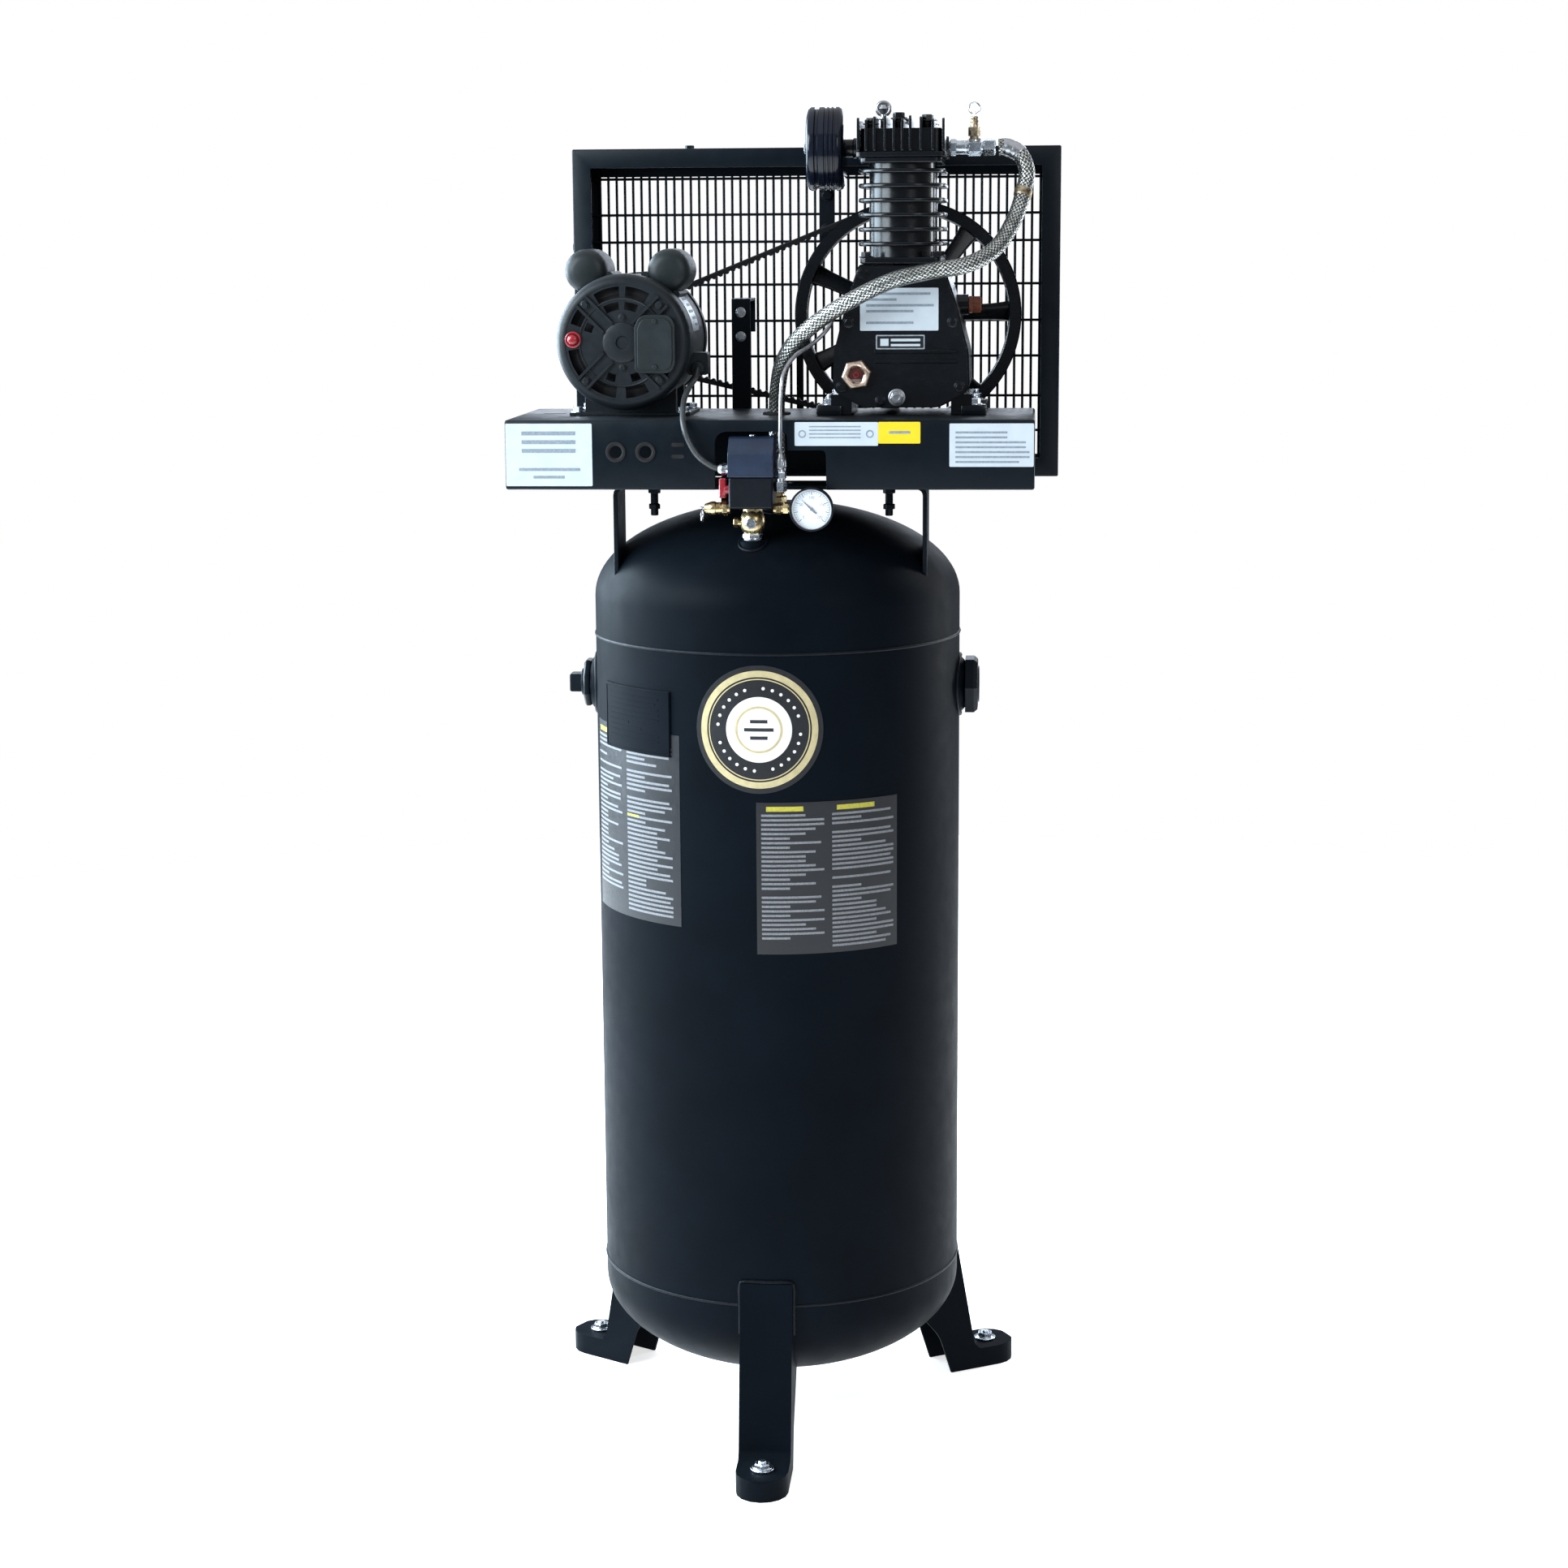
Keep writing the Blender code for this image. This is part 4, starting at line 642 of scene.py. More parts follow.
def make_tank():
    inner = TANK_R - WALL
    gap = 0.0006
    high, low = SEAM_HIGH, SEAM_LOW
    wall = [(TANK_R - 0.001, high), (TANK_R, high - 0.001), (TANK_R, low + 0.001), (TANK_R - 0.001, low),
            (inner, low), (inner, high)]
    piece("tank_wall", lathe(wall, 160), "tank", replaces="tank_shell")
    top = dome(TANK_R, HEAD_DEPTH, TANGENT_HIGH) + [(TANK_R, high + gap + 0.001),
                                                    (TANK_R - 0.001, high + gap)]
    top += [(inner, high + gap)] + list(reversed(dome(inner, HEAD_DEPTH - WALL, TANGENT_HIGH)))
    piece("tank_crown", lathe(top, 160), "tank", replaces="tank_top_head")
    base = dome(TANK_R, -HEAD_DEPTH, TANGENT_LOW) + [(TANK_R, low - gap - 0.001), (TANK_R - 0.001, low - gap)]
    base += [(inner, low - gap)] + list(reversed(dome(inner, -HEAD_DEPTH + WALL, TANGENT_LOW)))
    piece("tank_sump", lathe(base, 160), "tank", replaces="tank_bottom_head")
    for name, z in (("weld_high", high), ("weld_low", low)):
        piece(name, weld(around(TANK_R - 0.0008, z, 1410), 0.0023, closed=True, seed=z), "weld", soft=60)
    back = math.radians(97.0)
    line = [(TANK_R * 0.9985 * math.cos(back), TANK_R * 0.9985 * math.sin(back), z) for z in (low, 0.7, high)]
    piece("weld_back", weld(line, 0.0022), "weld", soft=60)

    for name, axis, side in (("port_right", "X", 1), ("port_left", "-X", -1)):
        boss = [(0, 0.262), (0.0325, 0.262), (0.0345, 0.2605), (0.0390, 0.2560), (0.0405, 0.2530),
                (0.0405, 0.2400), (0, 0.2400)]
        piece(name, lathe(boss, 64, (0, 0, PORT_Z), axis), "tank")
        joint = []
        for y, z in circle(0.0412, 228):
            joint.append((side * (math.sqrt(TANK_R ** 2 - y * y) + 0.0006), y, PORT_Z + z))
        piece(name + "_weld", weld(joint, 0.0030, closed=True, seed=side), "weld", soft=60)
    for name, (x, y), radius, low_z, high_z in (("nipple_collar", NIPPLE, 0.0175, -0.014, 0.003),
                                                 ("valve_collar", VALVE, 0.021, -0.008, 0.006)):
        z = dome_height(x, y)
        collar = [(0, z + high_z), (radius - 0.002, z + high_z), (radius, z + high_z - 0.002),
                  (radius, z + low_z - 0.01), (0, z + low_z - 0.01)]
        piece(name, lathe(collar, 48, (x, y, 0)), "tank")
        joint = []
        for a, b in circle(radius + 0.0005, 120, (x, y)):
            joint.append((a, b, dome_height(a, b) + 0.0004))
        piece(name + "_weld", weld(joint, 0.0026, closed=True, seed=x), "weld", soft=60)

    bushing = [(0, 0.2722), (0.0200, 0.2722), (0.0215, 0.2712), (0.0235, 0.2722), (0.0315, 0.2722),
               (0.0350, 0.2695), (0.0350, 0.2650), (0.0335, 0.2624), (0, 0.2624)]
    plug = merged(lathe(bushing, 8, spin=22.5), disc(0.0190, 0.270, 0.2770, 40, 0.001),
                  hexagon(0.0178, 0.2765, 0.2938, 4, spin=45.0))
    piece("left_plug", moved(plug, (0, 0, PORT_Z), "-X"), "frame", replaces="side_plug_left", bevel=0.0008)
    plug = merged(hexagon(0.0428, 0.2625, 0.2798), disc(0.0300, 0.2600, 0.2640, 40, 0.001))
    rim = lathe([(0.0250, 0.2816), (0.0230, 0.2818), (0.0215, 0.2806), (0.0215, 0.2780), (0.0262, 0.2780)],
                48)
    piece("right_plug", moved(merged(plug, rim), (0, 0, PORT_Z), "X", 30.0), "frame",
          replaces="side_plug_right", bevel=0.0008)

    for name in ("leg_front", "leg_left", "leg_right"):
        refine(name, "tank", 0.0024, 34.0, 3)
    for name, azimuth in zip(("front", "left", "right"), LEG_AZIMUTHS):
        turn = Matrix.Rotation(math.radians(azimuth), 3, "Z")
        half = LEG_HALF + 0.0006
        reach = math.sqrt((TANK_R + 0.001) ** 2 - half ** 2)
        path = [(reach - 0.0005, -half, z) for z in (0.190, 0.225, 0.258)]
        path += [(reach + 0.001, -half + 0.006, 0.2650), (TANK_R + 0.001, 0.0, 0.2655),
                 (reach + 0.001, half - 0.006, 0.2650)]
        path += [(reach - 0.0005, half, z) for z in (0.258, 0.225, 0.190)]
        piece("leg_weld_" + name, weld([turn @ Vector(p) for p in path], 0.0030, seed=azimuth), "weld",
              soft=60)
        spot = turn @ Vector((0.3385, 0.0, 0.0303))
        head = merged(disc(0.0160, 0.0, 0.0028, 48, 0.0006), hexagon(0.0113, 0.0026, 0.0098, spin=azimuth),
                      disc(0.0052, 0.009, 0.0128, 24, 0.0008), disc(0.0130, 0.0024, 0.0040, 32, 0.0005))
        piece("floor_bolt_" + name, moved(head, spot), "zinc", replaces="foot_bolt_" + name, bevel=0.0004)
    refine("drain_valve", "brass", 0.0006)
    refine("drain_handle", "brass", 0.0006)


# ---------------------------------------------------------------- labels on the tank and the deck

def tank_patch(azimuths, heights, low, high, steps=None):
    """A curved slab on the tank between two azimuths and two heights."""
    count = steps or max(2, round(abs(azimuths[1] - azimuths[0]) / 1.5))
    section = [(z, r) for z, r in ((heights[0], TANK_R + low), (heights[1], TANK_R + low),
                                   (heights[1], TANK_R + high), (heights[0], TANK_R + high))]
    points, faces = [], []
    for k in range(count + 1):
        angle = math.radians(azimuths[0] + (azimuths[1] - azimuths[0]) * k / count)
        points.extend((r * math.cos(angle), r * math.sin(angle), z) for z, r in section)
    for k in range(count):
        faces += [(4 * k + i, 4 * k + (i + 1) % 4, 4 * k + 4 + (i + 1) % 4, 4 * k + 4 + i) for i in range(4)]
    return points, faces + [(0, 1, 2, 3), tuple(4 * count + i for i in range(4))]


def tank_ring(azimuth, height, inner, outer, low, high, steps=96, rows=5):
    """A round decal's ring, wrapped on the tank."""
    points, faces = [], []
    radii = [inner + (outer - inner) * k / rows for k in range(rows + 1)]
    loop = [(r, low) for r in radii] + [(r, high) for r in reversed(radii)]
    for k in range(steps):
        angle = math.tau * k / steps
        for r, proud in loop:
            around_angle = math.radians(azimuth) + r * math.cos(angle) / TANK_R
            points.append(((TANK_R + proud) * math.cos(around_angle),
                           (TANK_R + proud) * math.sin(around_angle),
                           height + r * math.sin(angle)))
    width = len(loop)
    for k in range(steps):
        a, b = k * width, ((k + 1) % steps) * width
        faces += [(a + i, a + (i + 1) % width, b + (i + 1) % width, b + i) for i in range(width)]
    return points, faces


def bars(place, left, right, top, bottom, pitch, fill, draws, indent=0.0):
    """Rows of plain bars of uneven length, each made by the place function."""
    shapes = []
    z = top
    while z - pitch * fill > bottom:
        if draws.random() > 0.06:
            end = left + (right - left) * draws.choice((0.45, 0.7, 0.86, 0.95, 1.0, 1.0))
            shapes.append(place((left + indent, end), (z - pitch * fill, z)))
        z -= pitch
    return merged(*shapes)


def make_tank_labels():
    draws = random.Random(11)

    def printed(low, high):
        return lambda x, z: tank_patch(x, z, low, high)

    plate = tank_patch((-151.5, -119.6), (0.988, 1.077), -0.001, 0.0030)
    piece("data_plate", plate, "tank", bevel=0.0012)
    rim = [tank_patch((-151.0, -120.1), (z - 0.0012, z + 0.0012), 0.0028, 0.0036) for z in (0.9905, 1.0745)]
    rim += [tank_patch((a - 0.28, a + 0.28), (0.9905, 1.0745), 0.0028, 0.0036) for a in (-151.0, -120.1)]
    rim.append(bars(printed(0.0028, 0.0033), -148.0, -124.0, 1.066, 1.000, 0.0072, 0.42, draws))
    piece("data_plate_marks", merged(*rim), "tank")

    piece("left_label", tank_patch((-163.0, -116.6), (0.757, 1.0185), 0.0001, 0.0004), "night")
    piece("right_label", tank_patch((-92.0, -46.5), (0.727, 0.934), 0.0001, 0.0004), "night")
    text, heads = [], []
    for left, right, top, bottom in ((-162.0, -142.5, 1.000, 0.792), (-139.5, -119.5, 1.000, 0.765),
                                     (-90.5, -71.5, 0.918, 0.742), (-69.0, -48.0, 0.918, 0.735)):
        text.append(bars(printed(0.0004, 0.0006), left, right, top, bottom, 0.0062, 0.50, draws))
        heads.append(tank_patch((left + 1.5, (left + right * 2) / 3), (top + 0.004, top + 0.0105), 0.0004,
                                0.0006))
    heads.append(tank_patch((-139.5, -133.5), (0.8985, 0.9015), 0.0006, 0.0007))
    piece("label_text", merged(*text), "grey")
    piece("label_heads", merged(*heads), "ochre")

    middle = (-91.0, 1.0320)
    for name, inner, outer, high, look in (("badge_back", 0.0, 0.0860, 0.0006, "night"),
                                           ("badge_ring", 0.0705, 0.0790, 0.0009, "gold"),
                                           ("badge_line", 0.0668, 0.0682, 0.0008, "gold"),
                                           ("badge_face", 0.0, 0.0440, 0.0009, "cream"),
                                           ("badge_core", 0.0285, 0.0315, 0.0011, "gold")):
        if inner == 0.0:
            inner = 0.0004
        piece(name, tank_ring(*middle, inner, outer, 0.0002, high), look)
    marks = []
    for k in range(28):
        if k % 7 == 0:
            continue
        angle = math.tau * k / 28 + math.pi / 28
        height = middle[1] + 0.0555 * math.sin(angle)
        azimuth = middle[0] + math.degrees(0.0555 * math.cos(angle) / TANK_R)
        marks.append(tank_ring(azimuth, height, 0.0003, 0.0022, 0.0002, 0.0010, 14, 1))
    piece("badge_dots", merged(*marks), "cream")
    core = [tank_patch((-91.0 - a, -91.0 + a), (1.0320 + z - 0.0022, 1.0320 + z + 0.0022), 0.0008, 0.0012)
            for z, a in ((0.0110, 2.6), (0.0, 4.4), (-0.0110, 2.6))]
    piece("badge_bars", merged(*core), "ink")


def flat_label(name, x, z, look, face, radius=0.0015):
    piece(name, extruded(panel(x, z, radius), 0.0, 0.0004, (0, face, 0), "-Y"), look)


def make_flat_labels():
    draws = random.Random(5)

    def on_face(face):
        return lambda x, z: extruded(panel(x, z, 0.0002, 2), 0.0003, 0.0006, (0, face, 0), "-Y")

    deck = DECK_FRONT - 0.0001
    flat_label("deck_label_left", (-0.3435, -0.2280), (1.3490, 1.4315), "white", deck)
    shapes = [on_face(deck)((-0.322, -0.250), (z, z + 0.0052)) for z in (1.4160, 1.4045, 1.3930)]
    piece("deck_label_left_bars", merged(*shapes), "mid")
    text = [on_face(deck)((-0.326, -0.244), (1.3690, 1.3730)),
            on_face(deck)((-0.307, -0.265), (1.3590, 1.3628))]
    text += [bars(on_face(deck), 0.060, 0.128, 1.4280, 1.4080, 0.0048, 0.35, draws),
             bars(on_face(deck), 0.252, 0.349, 1.4270, 1.3770, 0.0064, 0.42, draws),
             on_face(deck)((0.165, 0.193), (1.4178, 1.4212))]
    flat_label("deck_label_strip", (0.0410, 0.1508), (1.4020, 1.4330), "white", deck)
    flat_label("deck_label_yellow", (0.1509, 0.2062), (1.4050, 1.4332), "yellow", deck)
    flat_label("deck_label_right", (0.2443, 0.3545), (1.3745, 1.4310), "white", deck)
    spots = []
    for x in (0.0510, 0.1400):
        spots.append(lathe([(0.0052, 0.0006), (0.0052, 0.0003), (0.0034, 0.0003), (0.0034, 0.0006)], 24,
                           (x, deck, 1.4175), "-Y"))
    piece("deck_label_rings", merged(*spots), "mid")

    case = CASE_FRONT - 0.0001
    flat_label("pump_label", (0.1230, 0.2270), (1.5490, 1.6050), "white", case)
    text.append(bars(on_face(case), 0.1310, 0.2210, 1.5990, 1.5530, 0.0076, 0.42, draws))
    piece("label_print", merged(*text), "mid")
    flat_label("pump_plate", (0.1440, 0.2090), (1.5245, 1.5435), "foil", case)
    flat_label("pump_plate_field", (0.1458, 0.2072), (1.5262, 1.5418), "night", case - 0.0003, 0.0006)
    shapes = [on_face(case - 0.0005)((0.1640, 0.2030), (1.5350, 1.5385)),
              on_face(case - 0.0005)((0.1500, 0.1610),
              (1.5290, 1.5385)), on_face(case - 0.0005)((0.1640, 0.2030), (1.5285, 1.5315))]
    piece("pump_plate_bars", merged(*shapes), "white")


# ---------------------------------------------------------------- deck and guard

def make_deck():
    refine("deck", "frame", 0.0009)
    refine("deck_bracket", "frame", 0.0014)
    refine("deck_rear_post", "frame", 0.0010)
    bolts = []
    for x in (-0.160, 0.160):
        bolts.append(bolt(0.0085, (x, -0.088, 1.3370), "-Z"))
        bolts.append(disc(0.0052, 1.3000, 1.3380, 20, 0.0010, at=(x, -0.088, 0)))
        bolts.append(hexagon(0.0082, 1.3090, 1.3160, at=(x, -0.088, 0), spin=x * 90))
        bolts.append(bolt(0.0085, (x, -0.088, 1.3480)))
    piece("bracket_bolts", merged(*bolts), "frame", bevel=0.0003)
    # near-black plates laid on the deck where its slots are, nothing is cut through: painted shade standing
    # in for the openings
    slots = []
    for x, y in ((-0.318, -0.150), (-0.300, -0.050), (-0.268, -0.130), (-0.110, -0.125), (-0.110, 0.010)):
        slots.append(extruded(panel((x - 0.016, x + 0.016), (y - 0.0045, y + 0.0045), 0.0044), 1.4355,
                              1.43615))
    for z in (1.4035, 1.3880):
        slots.append(extruded(panel((-0.1225, -0.1055), (z - 0.0026, z + 0.0026), 0.0025), 0.0, 0.0002,
                              (0, DECK_FRONT, 0), "-Y"))
    piece("deck_slot_shade", merged(*slots), "rubber")
    grommets = []
    for x in (-0.1965, -0.1568):
        ring = [(0.0136, 0.0012), (0.0126, 0.0022), (0.0100, 0.0022), (0.0082, 0.0008), (0.0082, -0.0050),
                (0.0100, -0.0060), (0.0104, 0.0002), (0.0136, 0.0002)]
        grommets.append(lathe(ring, 40, (x, DECK_FRONT, 1.394), "-Y"))
    piece("deck_grommets", merged(*grommets), "rubber")
    x, y = VALVE
    ring = [(0.0190, 0.0004), (0.0190, 0.0020), (0.0172, 0.0034), (0.0142, 0.0034), (0.0128, 0.0018),
            (0.0128, -0.0050), (0.0150, -0.0058), (0.0152, 0.0004)]
    piece("hose_grommet", lathe(ring, 48, (x, y, DECK_Z[1])), "rubber")


def make_guard():
    refine("guard_frame", "frame", 0.0010)
    refine("guard_strap", "frame", 0.0008)
    wire = 0.0019
    x0, x1 = GUARD_X[0] + 0.0042, GUARD_X[1] - 0.0042
    z0, z1 = GUARD_Z[0] + 0.0042, GUARD_Z[1] - 0.0042
    plane = GUARD_BACK - 0.0050
    count = round((x1 - x0) / 0.0117)
    wires = []
    for k in range(1, count):
        x = x0 + (x1 - x0) * k / count
        wires.append(tube([(x, plane, z0), (x, plane, z1)], wire, 8))
    for z in (z0 + 0.002, 1.400, 1.449, 1.505, 1.555, 1.606, 1.666, 1.704, 1.754, z1 - 0.002):
        wires.append(tube([(x0, plane - 0.0024, z), (x1, plane - 0.0024, z)], wire, 8))
    for low, high in ((1.7570, z1), (z0, 1.3560)):
        wires.append(extruded(panel((x0, x1), (low, high), 0.002), 0.0, 0.0024, (0, plane - 0.0020, 0), "-Y"))
    piece("guard_wires", merged(*wires), "frame", replaces="guard_grille", soft=60)
    tab = extruded(panel((0.050, 0.072), (1.666, 1.746), 0.003), 0.0, 0.003, (0, plane - 0.0042, 0), "-Y")
    stay = extruded(panel((0.0165, 0.0265), (1.428, 1.537), 0.002), 0.0, 0.003, (0, plane - 0.0042, 0), "-Y")
    piece("guard_stays", merged(tab, stay), "frame", bevel=0.0005)
    bolts = [bolt(0.0054, (-0.055, 0.0700, z), "-Y", 12.0) for z in (1.5690, 1.5355, 1.390)]
    piece("strap_bolts", merged(*bolts), "steel", bevel=0.0003)
    bolts = [bolt(0.0065, (x, y, GUARD_Z[1])) for x, y in ((-0.1296, 0.118), (0.250, 0.118))]
    bolts += [bolt(0.0065, (GUARD_X[0], 0.110, z), "-X") for z in (1.660, 1.470)]
    bolts += [bolt(0.0068, (0.061, plane - 0.0072, z), "-Y", 5.0) for z in (1.682, 1.730)]
    piece("guard_bolts", merged(*bolts), "frame", bevel=0.0003)


# ---------------------------------------------------------------- belt drive

def make_flywheel():
    half = 0.014
    groove = 0.0078
    rim = [(0.1575, half), (0.1590, half - 0.0015), (0.1590, groove + 0.0010), (0.1580, groove),
           (0.1466, 0.0060),
           (0.1466, -0.0060), (0.1580, -groove), (0.1590, -groove - 0.0010), (0.1590, -half + 0.0015),
           (0.1575, -half), (0.1430, -half), (0.1415, -half + 0.0020), (0.1405, 0.0), (0.1415, half - 0.0020),
           (0.1430, half)]
    hub = [(0.0262, 0.0180), (0.0280, 0.0162), (0.0300, -0.0090), (0.0280, -0.0162), (0.0262, -0.0180),
           (0.0121, -0.0180), (0.0121, 0.0180)]
    shapes = [lathe(rim, 128), lathe(hub, 64)]
    section = [(0.0029 * math.cos(a), math.sin(a)) for a in [math.tau * k / 16 for k in range(16)]]
    stations = [(0.022, 0.0155), (0.035, 0.0128), (0.060, 0.0118), (0.090, 0.0116), (0.118, 0.0124),
                (0.134, 0.0140), (0.1445, 0.0165)]
    for k in range(7):
        angle = math.radians(2.0 - 360.0 / 7 * k)
        turn = Matrix.Rotation(angle, 4, "Z")
        points = []
        for reach, width in stations:
            twist = Matrix.Rotation(0.35, 4, "X")
            for thin, wide in section:
                points.append(tuple(turn @ twist @ Vector((reach, wide * width,
                                                           thin * (1.0 + 8 * abs(width - 0.0104)
                                                                                        / 0.0104 * 0.1)))))
        faces = []
        for s in range(len(stations) - 1):
            a, b = s * 16, (s + 1) * 16
            faces += [(a + i, a + (i + 1) % 16, b + (i + 1) % 16, b + i) for i in range(16)]
        faces += [tuple(range(16)), tuple(range(96, 112))]
        shapes.append((points, faces))
    wheel = [tuple(Matrix.Rotation(math.pi / 2, 4, "X") @ Vector(p)) for p in merged(*shapes)[0]]
    part = moved((wheel, merged(*shapes)[1]), (PUMP_X, BELT_Y, CRANK_Z))
    piece("belt_wheel", part, "enamel", "crank", "flywheel", soft=40)
    nut = merged(bolt(0.0110, (PUMP_X, BELT_Y + 0.0185, CRANK_Z), "Y"),
                 disc(0.0150, 0.0, 0.003, 40, 0.0006, at=(PUMP_X, BELT_Y + 0.0180, CRANK_Z), axis="Y"))
    piece("wheel_bolt", nut, "steel", "crank", bevel=0.0004)
    refine("crankshaft", "steel", 0.0006)


def belt_path(spacing):
    """Middle line of the belt round the flywheel and the motor pulley, evenly spaced."""
    across, rise = PUMP_X - MOTOR_X, CRANK_Z - MOTOR_Z
    reach = math.hypot(across, rise)
    tilt = math.atan2(rise, across)
    wrap = math.asin((BELT_BIG - BELT_SMALL) / reach)
    span = math.sqrt(reach ** 2 - (BELT_BIG - BELT_SMALL) ** 2)
    lengths = [(math.pi + 2 * wrap) * BELT_BIG, span, (math.pi - 2 * wrap) * BELT_SMALL, span]
    count = round(sum(lengths) / spacing / 4) * 4
    route = []
    for k in range(count):
        along = sum(lengths) * k / count
        if along < lengths[0]:
            angle = tilt - math.pi / 2 - wrap + along / BELT_BIG
            spot = (PUMP_X + BELT_BIG * math.cos(angle), CRANK_Z + BELT_BIG * math.sin(angle))
        elif along < lengths[0] + span:
            angle = tilt + math.pi / 2 + wrap
            slide = along - lengths[0]
            spot = (PUMP_X + BELT_BIG * math.cos(angle) - slide * math.sin(angle),
                    CRANK_Z + BELT_BIG * math.sin(angle) + slide * math.cos(angle))
        elif along < sum(lengths[:3]):
            angle = tilt + math.pi / 2 + wrap + (along - lengths[0] - span) / BELT_SMALL
            spot = (MOTOR_X + BELT_SMALL * math.cos(angle), MOTOR_Z + BELT_SMALL * math.sin(angle))
        else:
            angle = tilt - math.pi / 2 - wrap
            slide = along - sum(lengths[:3])
            spot = (MOTOR_X + BELT_SMALL * math.cos(angle) - slide * math.sin(angle),
                    MOTOR_Z + BELT_SMALL * math.sin(angle) + slide * math.cos(angle))
        route.append((spot[0], BELT_Y, spot[1]))
    return route


def make_belt():
    route = belt_path(0.0024)
    count = len(route)
    points, faces = [], []
    for k in range(count):
        ahead = Vector(route[(k + 1) % count]) - Vector(route[k - 1])
        out = Vector((ahead.z, 0.0, -ahead.x)).normalized()
        tooth = 0.0 if k % 4 in (0, 1) else 0.0026
        inner = -0.0045 + tooth
        narrow = 0.0040 + 0.0009 * (tooth > 0)
        for rise, side in ((0.0045, -0.0064), (0.0045, 0.0064), (0.0030, 0.0066), (inner, narrow),
                           (inner, -narrow), (0.0030, -0.0066)):
            points.append(tuple(Vector(route[k]) + out * rise + Vector((0, side, 0))))
    for k in range(count):
        a, b = 6 * k, 6 * ((k + 1) % count)
        faces += [(a + i, a + (i + 1) % 6, b + (i + 1) % 6, b + i) for i in range(6)]
    piece("belt", (points, faces), "rubber", replaces="drive_belt", soft=25)

    pulley = [(0.0455, 0.0130), (0.0470, 0.0115), (0.0470, 0.0082), (0.0365, 0.0052), (0.0365, -0.0052),
              (0.0470, -0.0082), (0.0470, -0.0115), (0.0455, -0.0130), (0.0400, -0.0130), (0.0385, -0.0110),
              (0.0200, -0.0105), (0.0180, -0.0130), (0.0098, -0.0130), (0.0098, 0.0130), (0.0180, 0.0130),
              (0.0200, 0.0105), (0.0385, 0.0110), (0.0400, 0.0130)]
    piece("belt_pulley", lathe(pulley, 72, (MOTOR_X, BELT_Y, MOTOR_Z), "Y"), "steel", "rotor", "motor_pulley")


# ---------------------------------------------------------------- pump

def make_pump():
    refine("crankcase", "enamel", 0.0022, 34.0, 3)
    refine("crankcase_cover", "enamel", 0.0020, 34.0, 3)
    screws = []
    for x, z in ((0.126, 1.6245), (0.228, 1.6245), (0.108, 1.5600), (0.246, 1.5600), (0.0985, 1.4750),
                 (0.2555, 1.4750), (0.150, 1.4560)):
        screws.append(bolt(0.0055, (x, CASE_FRONT + 0.0002, z), "-Y", 17.0 * x * 100, head=0.7))
    piece("cover_screws", merged(*screws), "enamel", bevel=0.0003)
    feet = []
    for x in (-0.097, 0.097):
        for y in (-0.092, 0.032):
            feet.append(bolt(0.0088, (PUMP_X + x, y, 1.4500), spin=x * 90, head=0.8))
            feet.append(disc(0.0046, 1.4550, 1.4640, 20, 0.0008, at=(PUMP_X + x, y, 0)))
    piece("pump_bolts", merged(*feet), "zinc", bevel=0.0004)
    drain = merged(disc(0.0115, -0.0005, 0.0020, 40, 0.0006), hexagon(0.0095, 0.0018, 0.0080),
                   lathe([(0.0062, 0.0092), (0.0062, 0.0070), (0.0034, 0.0070), (0.0034, 0.0092)], 24))
    piece("oil_drain", moved(drain, (0.1720, CASE_FRONT, 1.4610), "-Y", 9.0), "steel", bevel=0.0004)

    x, z = 0.118, 1.4912
    nut = [(0.0172, 0.0108), (0.0188, 0.0102), (0.0204, 0.0082), (0.0204, 0.0004), (0.0112, 0.0004),
           (0.0112, 0.0070), (0.0128, 0.0080), (0.0136, 0.0108)]
    glass = lathe(nut, 6, (x, CASE_FRONT, z), "-Y", 10.0)
    liner = lathe([(0.0150, 0.0112), (0.0118, 0.0104), (0.0106, 0.0060), (0.0106, 0.0030),
                   (0.0150, 0.0030)], 48,
                  (x, CASE_FRONT, z), "-Y")
    piece("sight_glass", merged(glass, liner), "rose_brass", replaces="oil_sight_glass", bevel=0.0006)
    lens = [(0, 0.0078), (0.0060, 0.0074), (0.0106, 0.0062), (0.0108, 0.0030), (0, 0.0030)]
    piece("sight_lens", lathe(lens, 48, (x, CASE_FRONT, z), "-Y"), "oil")
    piece("sight_dot", lathe([(0.0038, 0.0082), (0.0038, 0.0070), (0.0026, 0.0070), (0.0026, 0.0082)], 32,
                             (x, CASE_FRONT, z), "-Y"), "red")

    cap = [(0, 0.0178), (0.0080, 0.0178), (0.0100, 0.0168), (0.0104, 0.0060), (0.0115, 0.0050),
           (0.0115, 0.0010), (0.0105, 0.0003), (0.0068, 0.0003), (0.0068, -0.0140), (0, -0.0140)]
    shapes = [lathe(cap, 48)]
    for k in range(14):
        u, v = circle(0.0104, 14)[k]
        shapes.append(tube([(u, v, 0.0060), (u, v, 0.0160)], 0.0008, 6))
    piece("oil_cap_fine", moved(merged(*shapes), (0.264, 0.005, 1.580), "X"), "orange", "oil_cap",
          "oil_fill_cap")

    make_cylinders()
    make_head()


def fin_plan(half, corner, segments=10):
    y0, y1 = CYLINDER_Y[0] - half, CYLINDER_Y[1] + half
    return rounded_corners([(-half, y0, corner), (half, y0, corner), (half, y1, corner), (-half, y1, corner)],
                           segments)


